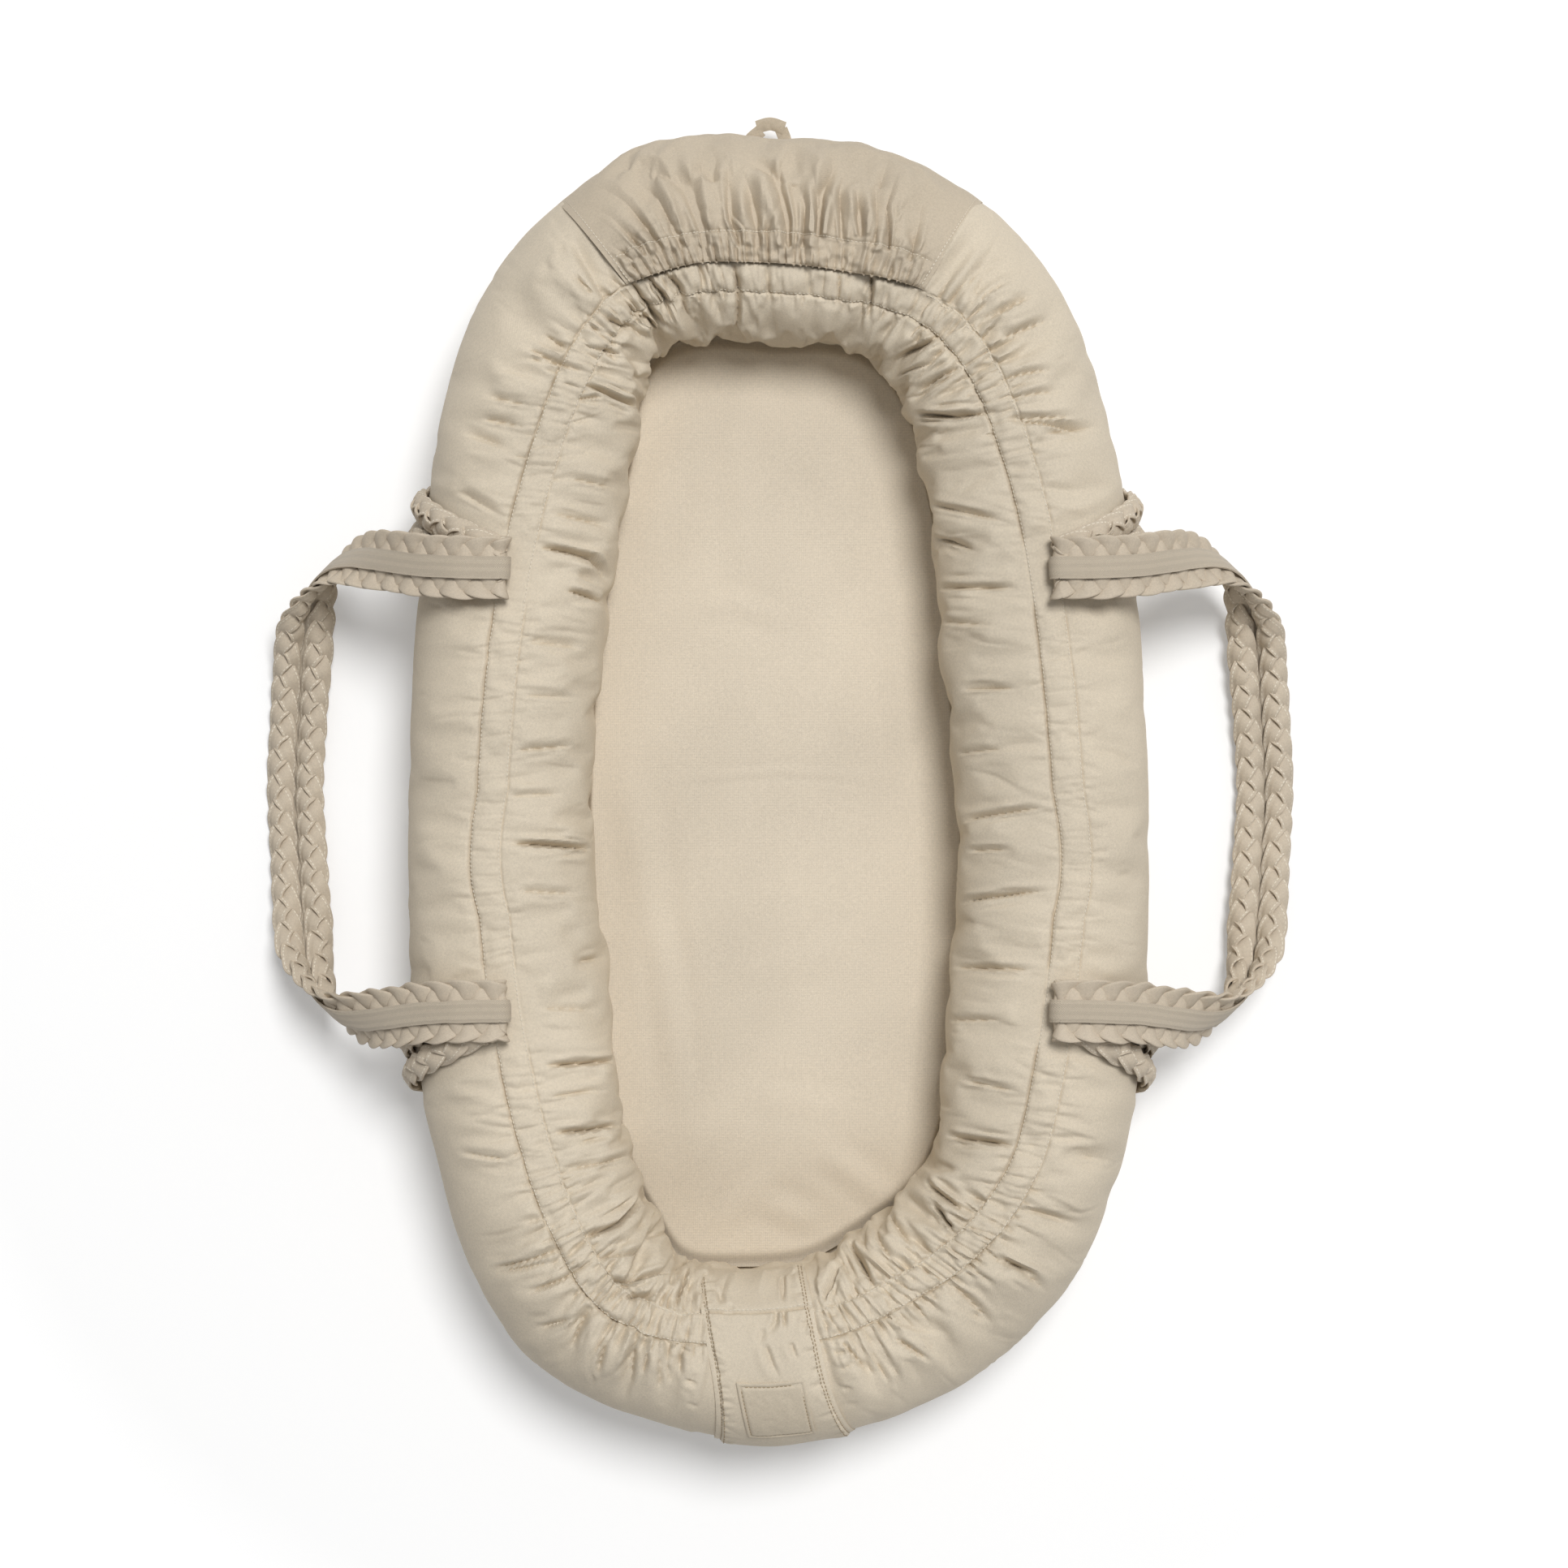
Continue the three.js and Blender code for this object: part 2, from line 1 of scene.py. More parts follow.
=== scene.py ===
"""Infant lounger: cloth, gathers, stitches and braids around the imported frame.

Shapes are worked out in millimetres, in the frame's axes, and turned into metres as each mesh is made.
The ring is laid out by stations, which run clockwise from the head end, and by the angle round its
section: -90 at the outer foot, 0 at the widest line, 90 at the crest and 180 at the inner rim.
"""

import bpy
import numpy as np
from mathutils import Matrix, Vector


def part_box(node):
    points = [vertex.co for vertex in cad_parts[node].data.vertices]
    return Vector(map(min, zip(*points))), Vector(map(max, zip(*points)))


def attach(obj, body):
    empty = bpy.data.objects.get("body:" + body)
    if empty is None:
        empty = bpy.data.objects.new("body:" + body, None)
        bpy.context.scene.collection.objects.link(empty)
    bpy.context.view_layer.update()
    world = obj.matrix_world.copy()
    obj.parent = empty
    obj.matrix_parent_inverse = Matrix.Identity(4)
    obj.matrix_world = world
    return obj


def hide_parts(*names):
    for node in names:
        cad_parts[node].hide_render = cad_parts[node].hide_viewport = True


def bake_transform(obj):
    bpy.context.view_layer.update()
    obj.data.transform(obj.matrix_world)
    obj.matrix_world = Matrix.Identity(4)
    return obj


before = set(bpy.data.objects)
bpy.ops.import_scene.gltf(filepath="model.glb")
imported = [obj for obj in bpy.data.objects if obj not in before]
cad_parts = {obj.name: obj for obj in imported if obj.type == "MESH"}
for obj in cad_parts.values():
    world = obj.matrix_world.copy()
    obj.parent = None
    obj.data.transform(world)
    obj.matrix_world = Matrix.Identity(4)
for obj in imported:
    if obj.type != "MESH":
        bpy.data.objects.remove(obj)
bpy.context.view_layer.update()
MM = 0.001


def node_box(name):
    """Lowest and highest corner of a CAD node in millimetres."""
    low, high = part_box(name)
    return np.array(low) / MM, np.array(high) / MM


# Camera: straight above the middle, as far away as the photograph's perspective suggests
CAMERA_PLACE = (0.0036, 0.0036, 2.25)
VIEW_WIDTH = 1.079
VIEW_HEIGHT = 0.065
SENSOR = 36.0


def put_in_scene(name, data):
    thing = bpy.data.objects.new(name, data)
    bpy.context.scene.collection.objects.link(thing)
    return thing


def make_camera():
    data = bpy.data.cameras.new("camera")
    camera = put_in_scene("camera", data)
    camera.location = CAMERA_PLACE
    data.sensor_width = SENSOR
    data.lens = SENSOR * (CAMERA_PLACE[2] - VIEW_HEIGHT) / VIEW_WIDTH
    bpy.context.scene.camera = camera


make_camera()

# Sizes of the ring, as the part's source has them
HALF_LENGTH = 450.5
HALF_WIDTH = 254.5
BUMPER_WIDTH = 128.0
CREST = node_box("outer_cover")[1][2]
WIDEST = 62.0
RIM = 80.0
HEEL = 26.0
FULLNESS = 2.15
CASING = 21.5
SEAT = node_box("outer_cover")[0][2]
FLOOR_EDGE = 29.6
FLOOR_CROWN = 4.0

# Outline and inner rim at each station, as shares of their half sizes, and the share of the way over the
# roll where the casing's outer seam runs
OUTER_SHARES = [
    (-0.039, 0.99), (0.216, 0.974), (0.468, 0.923), (0.656, 0.837), (0.802, 0.713),
    (0.888, 0.562), (0.947, 0.413), (0.978, 0.222), (0.998, 0), (0.998, -0.2),
    (0.982, -0.411), (0.916, -0.582), (0.784, -0.755), (0.562, -0.879), (0.271, -0.962),
    (-0.04, -0.993), (-0.354, -0.958), (-0.648, -0.879), (-0.821, -0.741), (-0.927, -0.555),
    (-0.98, -0.411), (-0.998, -0.2), (-0.998, 0), (-0.982, 0.222), (-0.956, 0.413),
    (-0.912, 0.562), (-0.817, 0.733), (-0.648, 0.862), (-0.35, 0.976),
]
RIM_SHARES = [
    (-0.04, 0.949), (0.285, 0.949), (0.49, 0.921), (0.632, 0.862), (0.711, 0.791),
    (0.759, 0.701), (0.83, 0.558), (0.88, 0.31), (0.957, 0), (0.972, -0.248),
    (0.9, -0.543), (0.846, -0.744), (0.68, -0.868), (0.395, -0.952), (0.126, -1.008),
    (-0.213, -1.02), (-0.522, -1.008), (-0.66, -0.921), (-0.767, -0.831), (-0.846, -0.713),
    (-0.9, -0.546), (-0.985, -0.248), (-1.004, 0), (-0.957, 0.295), (-0.86, 0.558),
    (-0.767, 0.744), (-0.735, 0.843), (-0.632, 0.93), (-0.379, 0.961),
]
SEAM_SHARES = [
    0.67, 0.69, 0.647, 0.569, 0.518, 0.47, 0.44, 0.393, 0.376, 0.376,
    0.42, 0.455, 0.548, 0.597, 0.62, 0.65, 0.6, 0.52, 0.516, 0.487,
    0.457, 0.41, 0.41, 0.434, 0.478, 0.533, 0.6, 0.645, 0.684,
]
STATIONS = len(OUTER_SHARES)
OUTER_LINE = np.array(OUTER_SHARES) * (HALF_WIDTH, HALF_LENGTH)
RIM_LINE = np.array(RIM_SHARES) * (HALF_WIDTH - BUMPER_WIDTH, HALF_LENGTH - BUMPER_WIDTH)
SEAM_LINE = np.array(SEAM_SHARES)[:, None]


# Curves and the ring's surface


def unit(vectors):
    return vectors / np.maximum(np.linalg.norm(vectors, axis=-1, keepdims=True), 1e-9)


def smooth(value):
    value = np.clip(value, 0, 1)
    return value * value * (3 - 2 * value)


def ramp(value, low, high):
    return smooth((value - low) / (high - low))


def bell(value):
    """1 at 0, falling off to both sides."""
    return np.exp(-(value**2))


def curve_piece(a, b, c, d, t):
    """Centripetal curve between b and c, with a and d as their neighbours."""
    steps = [np.linalg.norm(q - p, axis=-1, keepdims=True) ** 0.5 for p, q in ((a, b), (b, c), (c, d))]
    middle = np.where(steps[1] < 1e-4, 1.0, steps[1])
    before = np.where(steps[0] < 1e-4, middle, steps[0])
    after = np.where(steps[2] < 1e-4, middle, steps[2])
    start = ((b - a) / before - (c - a) / (before + middle) + (c - b) / middle) * middle
    end = ((c - b) / middle - (d - b) / (middle + after) + (d - c) / after) * middle
    return b + start * t + (3 * (c - b) - 2 * start - end) * t**2 + (2 * (b - c) + start + end) * t**3


def closed_curve(points, places):
    places = np.asarray(places, float)
    whole = np.floor(places).astype(int)
    near = [points[(whole + k) % len(points)] for k in (-1, 0, 1, 2)]
    return curve_piece(*near, (places - whole)[..., None])


def open_curve(points, places):
    """As closed_curve, for places from 0 to 1 over an open run of points."""
    points = np.asarray(points, float)
    padded = np.vstack([2 * points[0] - points[1], points, 2 * points[-1] - points[-2]])
    spans = len(points) - 1
    whole = np.minimum((np.asarray(places) * spans).astype(int), spans - 1)
    near = [padded[whole + k] for k in (0, 1, 2, 3)]
    return curve_piece(*near, (places * spans - whole)[..., None])


def lengths_along(points):
    return np.concatenate([[0], np.cumsum(np.linalg.norm(np.diff(points, axis=0), axis=1))])


def section_at(station):
    outer = closed_curve(OUTER_LINE, station)
    inward = closed_curve(RIM_LINE, station) - outer
    width = np.linalg.norm(inward, axis=-1)
    return outer, inward / width[..., None], width


def ring_point(station, angle, lift=0.0):
    """Points of the ring's surface; lift is outward from it."""
    station, angle, lift = np.broadcast_arrays(
        np.asarray(station, float), np.asarray(angle, float), np.asarray(lift, float)
    )
    outer, inward, width = section_at(station)
    across = np.abs(np.cos(np.radians(angle))) ** (2 / FULLNESS)
    rise = np.abs(np.sin(np.radians(angle))) ** (2 / FULLNESS)
    half = width / 2
    where = [angle < 0, angle <= 90, angle <= 180]
    distance = np.select(
        where,
        [HEEL - (HEEL + lift) * across, half - (half + lift) * across, half + (half + lift) * across],
        width - HEEL + (HEEL + lift) * across,
    )
    height = np.select(
        where,
        [
            WIDEST - (WIDEST - SEAT + lift) * rise,
            WIDEST + (CREST - WIDEST + lift) * rise,
            RIM + (CREST - RIM + lift) * rise,
        ],
        RIM - (RIM - SEAT + lift) * rise,
    )
    plan = outer + inward * distance[..., None]
    return np.concatenate([plan, height[..., None]], axis=-1)


def seam_angle(station, offset=0.0):
    """Angle of the casing's outer seam; offset moves the line inward by a distance."""
    station = np.asarray(station, float)
    share = closed_curve(SEAM_LINE, station)[..., 0] + offset / section_at(station)[2]
    angle = np.degrees(np.arccos(np.abs(1 - 2 * share) ** (FULLNESS / 2)))
    return np.where(share <= 0.5, angle, 180 - angle)


def inner_angle(height):
    return 180 + np.degrees(np.arcsin(((RIM - height) / (RIM - SEAT)) ** (FULLNESS / 2)))


def grid_normals(points, closed):
    """Normals of a grid of points, columns first; a closed grid joins its last column to its first."""
    if closed:
        along = np.roll(points, -1, 0) - np.roll(points, 1, 0)
    else:
        along = np.gradient(points, axis=0)
    return unit(np.cross(np.gradient(points, axis=1), along))


# Meshes

SHARP_ANGLE = np.radians(58)


def lay_places(mesh, places):
    """Gives each point its own place along and across its cloth, which the weave follows."""
    places = np.asarray(places, float).reshape(len(mesh.vertices), -1)
    layer = mesh.attributes.new("cloth_place", "FLOAT_VECTOR", "POINT")
    layer.data.foreach_set("vector", (np.pad(places, ((0, 0), (0, 3 - places.shape[1]))) * MM).ravel())


def object_of(name, points, corners, starts, material, places):
    """A smooth mesh object from points in millimetres, its faces' corners and each face's first corner."""
    points = np.asarray(points, float).reshape(-1, 3) * MM
    mesh = bpy.data.meshes.new(name)
    mesh.vertices.add(len(points))
    mesh.vertices.foreach_set("co", points.ravel())
    mesh.loops.add(len(corners))
    mesh.loops.foreach_set("vertex_index", corners)
    mesh.polygons.add(len(starts))
    mesh.polygons.foreach_set("loop_start", starts)
    mesh.update(calc_edges=True)
    mesh.polygons.foreach_set("use_smooth", np.ones(len(starts), bool))
    mesh.set_sharp_from_angle(angle=SHARP_ANGLE)
    if places is not None:
        lay_places(mesh, places)
    mesh.materials.append(material)
    return put_in_scene(name, mesh)


def mesh_object(name, points, faces, material, places=None):
    """A mesh object from points in millimetres and an array of faces with equal corner counts."""
    faces = np.asarray(faces, int)
    starts = np.arange(0, faces.size, faces.shape[1])
    return object_of(name, points, faces.ravel(), starts, material, places)


def grid_faces(columns, rows, closed=False, looped=False):
    """Faces of a grid stored column by column.

    closed joins its last column to the first, and looped its last row to the first."""
    spans = columns if closed else columns - 1
    steps = rows if looped else rows - 1
    column, row = np.meshgrid(np.arange(spans), np.arange(steps), indexing="ij")
    near = column * rows
    far = (column + 1) % columns * rows
    above = (row + 1) % rows
    return np.stack([near + row, near + above, far + above, far + row], axis=-1).reshape(-1, 4)


def tube_mesh(loops):
    """Points and faces of a closed body from loops of points, with a fan over each end."""
    loops = np.asarray(loops, float)
    count, size = loops.shape[:2]
    points = loops.reshape(-1, 3)
    sides = grid_faces(count, size, looped=True)
    ends = [loops[0].mean(0), loops[-1].mean(0)]
    points = np.vstack([points, ends])
    ring = np.arange(size)
    following = (ring + 1) % size
    low = np.stack([np.full(size, len(points) - 2), following, ring, ring], axis=1)
    top = (count - 1) * size
    high = np.stack([np.full(size, len(points) - 1), top + ring, top + following, top + following], axis=1)
    ends = np.vstack([low, high])[:, :3]
    corners = np.vstack([sides[:, :3], sides[:, [0, 2, 3]], ends]).T
    first, second, third = (points[corner] - points[0] for corner in corners)
    if np.einsum("ij,ij->", first, np.cross(second, third)) < 0:
        sides, ends = sides[:, ::-1], ends[:, ::-1]
    return points, sides, ends


def loop_places(loops):
    """Places along and around a body made of loops, in millimetres, for its weave."""
    loops = np.asarray(loops, float)
    along = lengths_along(loops.mean(axis=1))
    around = lengths_along(loops[len(loops) // 2])
    grid = np.stack(np.meshgrid(along, around, indexing="ij"), axis=-1)
    return np.vstack([grid.reshape(-1, 2), grid[[0, -1], 0]])


def body_object(name, parts, material, places=None):
    """One object from several closed bodies, each given by its loops of points.

    places holds each body's places for its weave, if not those along and around it."""
    points, quads, triangles, start = [], [], [], 0
    for loops in parts:
        body_points, sides, ends = tube_mesh(loops)
        points.append(body_points)
        quads.append(sides + start)
        triangles.append(ends + start)
        start += len(body_points)
    points, quads, triangles = (np.concatenate(part) for part in (points, quads, triangles))
    corners = np.concatenate([quads.ravel(), triangles.ravel()])
    starts = np.concatenate([np.arange(len(quads)) * 4, quads.size + np.arange(len(triangles)) * 3])
    places = np.concatenate(places or [loop_places(loops) for loops in parts])
    return object_of(name, points, corners, starts, material, places)


# Smooth noise from seeded lattices

LATTICE = 257
NOISE_SPREAD = 0.6


def noise(x, y, seed, period=None):
    """Smooth noise about 0 with one lattice point per unit; x wraps round after period units."""
    lattice = np.random.default_rng(seed).normal(0, NOISE_SPREAD, (LATTICE, LATTICE))
    wrap = period or LATTICE
    left = np.floor(x).astype(int)
    low = np.floor(y).astype(int)
    across = smooth(x - left)
    up = smooth(y - low)
    value = 0.0
    for dx, wx in ((0, 1 - across), (1, across)):
        for dy, wy in ((0, 1 - up), (1, up)):
            value = value + lattice[(left + dx) % wrap, (low + dy) % LATTICE] * wx * wy
    return value


# Materials

BUMP_DEPTH = 0.0004
STITCH_PITCH = 2.9
SEAM_HALF_WIDTH = 0.35
RIB_PITCH = 5.0
THREAD_PITCH = 1.1


def linear(colour):
    """A colour of the screen, as three numbers from 0 to 255, as Blender's four linear numbers."""
    share = np.array(colour) / 255
    return (*np.where(share <= 0.04045, share / 12.92, ((share + 0.055) / 1.055) ** 2.4), 1)


def shade(colour, amount):
    return tuple(min(255, channel * amount) for channel in colour)


def add_node(tree, kind, inputs, **settings):
    """A new node. inputs gives each of its sockets a value, or the socket that feeds it."""
    node = tree.nodes.new(kind)
    for name, value in settings.items():
        setattr(node, name, value)
    for name, value in inputs.items():
        if isinstance(value, bpy.types.NodeSocket):
            tree.links.new(value, node.inputs[name])
        else:
            node.inputs[name].default_value = value
    return node


class Nodes:
    """Short hand for building one cloth material's nodes."""

    def __init__(self, name):
        self.material = bpy.data.materials.new(name)
        self.material.use_nodes = True
        self.tree = self.material.node_tree
        self.place = self.add("ShaderNodeTexCoord", {}).outputs["Object"]
        woven = self.add("ShaderNodeAttribute", {}, attribute_name="cloth_place")
        self.woven = woven.outputs["Vector"]

    def add(self, kind, inputs, **settings):
        return add_node(self.tree, kind, inputs, **settings)

    def turned(self, angle):
        """The places on the cloth, turned by an angle."""
        rotation = (0, 0, np.radians(angle))
        return self.add("ShaderNodeMapping", {"Rotation": rotation, "Vector": self.woven}).outputs["Vector"]

    def parts(self):
        """The place along the cloth and the place across it."""
        node = self.add("ShaderNodeSeparateXYZ", {"Vector": self.woven})
        return node.outputs["X"], node.outputs["Y"]

    def noise(self, scale, detail, roughness=0.5):
        inputs = {"Scale": scale, "Detail": detail, "Roughness": roughness, "Vector": self.place}
        return self.add("ShaderNodeTexNoise", inputs).outputs["Fac"]

    def bands(self, scale, place, direction):
        inputs = {"Scale": scale, "Distortion": 0.6, "Detail": 1.5, "Detail Scale": 1.2, "Vector": place}
        return self.add("ShaderNodeTexWave", inputs, bands_direction=direction).outputs["Fac"]

    def math(self, operation, first, second=0.0):
        return self.add("ShaderNodeMath", {0: first, 1: second}, operation=operation).outputs["Value"]

    def sum(self, first, second, share):
        """A first value plus a share of a second."""
        return self.math("ADD", first, self.math("MULTIPLY", second, share))

    def between(self, factor, low, high):
        inputs = {"Value": factor, "From Min": 0.3, "From Max": 0.7, "To Min": low, "To Max": high}
        return self.add("ShaderNodeMapRange", inputs).outputs["Result"]

    def mix(self, factor, first, second):
        """The first colour where factor is 0 and the second where it is 1."""
        inputs = {"Factor": factor, "A": first, "B": second}
        return self.add("ShaderNodeMix", inputs, data_type="RGBA").outputs["Result"]

    def dashes(self, seams):
        """1 on the short stitches along some lines of the cloth, and 0 elsewhere."""
        along, across = self.parts()
        step = self.math("SINE", self.math("MULTIPLY", along, 2 * np.pi / (STITCH_PITCH * MM)))
        lines = 0.0
        for seam in seams:
            away = self.math("ABSOLUTE", self.math("SUBTRACT", across, seam * MM))
            lines = self.math("ADD", self.math("LESS_THAN", away, SEAM_HALF_WIDTH * MM), lines)
        return self.math("MULTIPLY", self.math("GREATER_THAN", step, -0.3), lines)

    def finish(self, sockets, height, strength, values):
        """Feeds the shader its sockets, its values and the bump of a height, and returns the material."""
        bump = self.add("ShaderNodeBump", {"Strength": strength, "Distance": BUMP_DEPTH, "Height": height})
        shader = self.tree.nodes["Principled BSDF"]
        self.tree.links.new(bump.outputs["Normal"], shader.inputs["Normal"])
        for name, socket in sockets.items():
            self.tree.links.new(socket, shader.inputs[name])
        for name, value in values.items():
            shader.inputs[name].default_value = value
        return self.material


def tape_material(name, colour):
    """Herringbone tape: slanting threads that change their way in the middle of each rib."""
    n = Nodes(name)
    along, across = n.parts()
    zigzag = n.math("PINGPONG", across, RIB_PITCH / 2 * MM)
    slanted = n.sum(along, zigzag, 1.3)
    threads = n.math("SINE", n.math("MULTIPLY", slanted, 2 * np.pi / (THREAD_PITCH * MM)))
    threads = n.math("ADD", n.math("MULTIPLY", threads, 0.5), 0.5)
    mottle = n.noise(700, 3.0, 0.7)
    ribs = n.math("LESS_THAN", n.math("FRACT", n.math("MULTIPLY", across, 1 / (RIB_PITCH * MM))), 0.5)
    tone = n.sum(n.math("MULTIPLY", threads, 0.4), mottle, 0.3)
    tone = n.between(n.sum(tone, ribs, 0.08), 0.0, 1.0)
    cloth = n.mix(tone, linear(shade(colour, 0.88)), linear(shade(colour, 1.1)))
    sockets = {"Base Color": cloth, "Roughness": n.between(mottle, 0.6, 0.75)}
    values = {"Specular IOR Level": 0.25, "Sheen Weight": 0.15}
    return n.finish(sockets, n.sum(threads, mottle, 0.4), 0.5, values)


def cloth_material(name, colour, weave=520, turn=45, roughness=0.62, sheen=0.12, grain=0.11, seams=()):
    """Woven cloth: crossing threads, a fine mottle and slow changes of tone.

    seams are the places across the cloth, in millimetres, of lines of fine stitches along it."""
    n = Nodes(name)
    turned = n.turned(turn)
    warp = n.bands(weave, turned, "X")
    crossing = n.bands(weave * 0.8, turned, "Y")
    threads = n.math("MULTIPLY", n.math("ADD", warp, crossing), 0.5)
    mottle = n.noise(620, 3.0, 0.7)
    slow = n.noise(9, 2.0)
    speckle = n.noise(1300, 2.0, 0.8)
    mottle = n.sum(n.math("MULTIPLY", mottle, 0.5), speckle, 0.5)
    tone = n.sum(n.math("MULTIPLY", mottle, 0.6), slow, 0.25)
    tone = n.between(n.sum(tone, threads, 0.15), 0.0, 1.0)
    cloth = n.mix(tone, linear(shade(colour, 1 - grain)), linear(shade(colour, 1 + grain)))
    height = n.sum(n.math("MULTIPLY", threads, 0.6), mottle, 0.5)
    if seams:
        dashes = n.dashes(seams)
        height = n.sum(height, dashes, 1.5)
        cloth = n.mix(dashes, cloth, linear(THREAD_COLOUR))
    sockets = {"Base Color": cloth, "Roughness": n.between(mottle, roughness - 0.06, roughness + 0.08)}
    values = {
        "Specular IOR Level": 0.2,
        "Sheen Weight": sheen,
        "Sheen Roughness": 0.45,
        "Sheen Tint": linear(shade(colour, 1.15)),
    }
    return n.finish(sockets, height, 0.35, values)


COVER_COLOUR = (207, 195, 175)
# Painted shade: the pocket's cloth, which the hang loop shares, is darker than the cover to stand in for the
# shade on them
POCKET_PAINTED_SHADE_COLOUR = (191, 178, 158)
LINING_COLOUR = (212, 200, 181)
BRAID_COLOUR = (195, 182, 163)
TAPE_COLOUR = (199, 186, 166)
PATCH_COLOUR = (198, 186, 166)
THREAD_COLOUR = (222, 213, 196)
# Painted shade: a darker thread for the band's and patch's stitches, standing in for the shade in the stitch
# holes
PIT_SHADE_THREAD_COLOUR = (160, 143, 118)

sateen = cloth_material("cover_sateen", COVER_COLOUR)
# Pocket cloth in a darker tone that is painted shade
pocket_sateen = cloth_material("pocket_sateen", POCKET_PAINTED_SHADE_COLOUR)
lining = cloth_material("floor_weave", LINING_COLOUR, weave=340, turn=0, roughness=0.75, sheen=0.1)
braid_cloth = cloth_material("braid_sateen", BRAID_COLOUR, seams=(2.2, 11.2))
tape_cloth = tape_material("tape_twill", TAPE_COLOUR)
patch_cloth = cloth_material("patch_sateen", PATCH_COLOUR)
thread = cloth_material("stitch_thread", THREAD_COLOUR, weave=900, roughness=0.5, grain=0.04)
# Thread whose dark colour is painted shade in the stitch holes
pit_shade_thread = cloth_material("dark_stitch_thread", PIT_SHADE_THREAD_COLOUR, weave=900, roughness=0.5, grain=0.04)


# Straps: two braids side by side, joined by a tape, in one run from anchor to handle to anchor

BRAID_WIDTH = 21.0
BRAID_THICKNESS = 5.6
STRAP_GAP = 0.9
TAPE_WIDTH = 15.0
TAPE_THICKNESS = 1.1
GAP = 0.3
STRAP_THICKNESS = BRAID_THICKNESS + STRAP_GAP + TAPE_THICKNESS
ANCHOR_GAP = 0.7
HANDLE_SPACING = 294.0
HANDLE_REACH = 159.0
GRIP_HEIGHT = 6.5
FOLD_INSET = 3.5
ANCHOR_SPLAY = 46.0
TWIST_LIFT = 45.0
GRIP_TILT = 8.0
TWIST_START = 0.2
TWIST_END = 0.82
HANDLE_ROUTE = [
    (0, 1, 0), (0.1, 1, 0), (0.2, 1.004, 0.012), (0.35, 1.018, 0.1), (0.5, 1.045, 0.235),
    (0.648, 1.061, 0.408), (0.76, 1.04, 0.55), (0.85, 0.965, 0.7), (0.93, 0.79, 0.86),
    (0.965, 0.56, 0.945), (0.985, 0.3, 0.985), (1, 0, 1),
]
HINGE_HEIGHT = CREST + ANCHOR_GAP + STRAP_THICKNESS + GAP / 2
STRAP_STEP = 1.3
FOLD_SETBACK = 4.0
FOLD_BULGE = 4.6


# Stations over which each side is searched, -1 for the left and 1 for the right
SIDE_STATIONS = {-1: (17.4, 26.7), 1: (2.9, 12.2)}
SEARCH_STEPS = 4000
HANDLE_STEPS = 3000
ANCHOR_STEPS = 1500
ANCHOR_START = 4.0
ANCHOR_FOOT = -55.0
FOLD_POINTS = 14
FOLD_MARGIN = 9
CENTRE_ROUNDS = 2
ACROSS_ROUNDS = 20


def station_at(side, place):
    """The station on one side, -1 left or 1 right, whose seam lies at a place along Y."""
    stations = np.linspace(*SIDE_STATIONS[side], SEARCH_STEPS)
    heights = ring_point(stations, seam_angle(stations))[:, 1]
    return stations[np.argmin(np.abs(heights - place))]


def fold_place(side):
    ends = [station_at(side, end * HANDLE_SPACING / 2) for end in (-1, 1)]
    return min(abs(ring_point(end, seam_angle(end))[0]) for end in ends) - FOLD_INSET


def square_up(centre, across):
    """Across and up along a line of points, made square to its direction."""
    tangent = unit(np.gradient(centre, axis=0))
    across = unit(across - tangent * (across * tangent).sum(1, keepdims=True))
    return across, np.cross(tangent, across)


def handle_run(side):
    """Centre and across vectors of one handle, from its head fold to its foot fold, for x above 0."""
    drop = HINGE_HEIGHT + GAP / 2 + STRAP_THICKNESS / 2 - GRIP_HEIGHT
    route = np.array(HANDLE_ROUTE)
    half = np.stack(
        [
            fold_place(side) + route[:, 0] * HANDLE_REACH,
            route[:, 1] * HANDLE_SPACING / 2,
            GRIP_HEIGHT + drop * (1 - route[:, 2]),
        ],
        axis=1,
    )
    points = np.vstack([half, half[-2::-1] * (1, -1, 1)])
    fine = open_curve(points, np.linspace(0, 1, HANDLE_STEPS))
    along = lengths_along(fine)
    count = int(along[-1] / STRAP_STEP)
    share = np.linspace(0, 1, count)
    centre = np.stack([np.interp(share * along[-1], along, axis) for axis in fine.T], axis=1)
    toward = np.where(share <= 0.5, 1.0, -1.0)
    half_share = np.where(share <= 0.5, share * 2, 2 - share * 2)
    turned = ramp(half_share, TWIST_START, TWIST_END)
    turn = np.pi / 2 * turned
    lift = np.radians(TWIST_LIFT * np.sin(2 * turn) - GRIP_TILT * turned)
    across = np.stack(
        [np.cos(lift) * np.sin(turn), -toward * np.cos(lift) * np.cos(turn), np.sin(lift)], axis=1
    )
    return centre, across


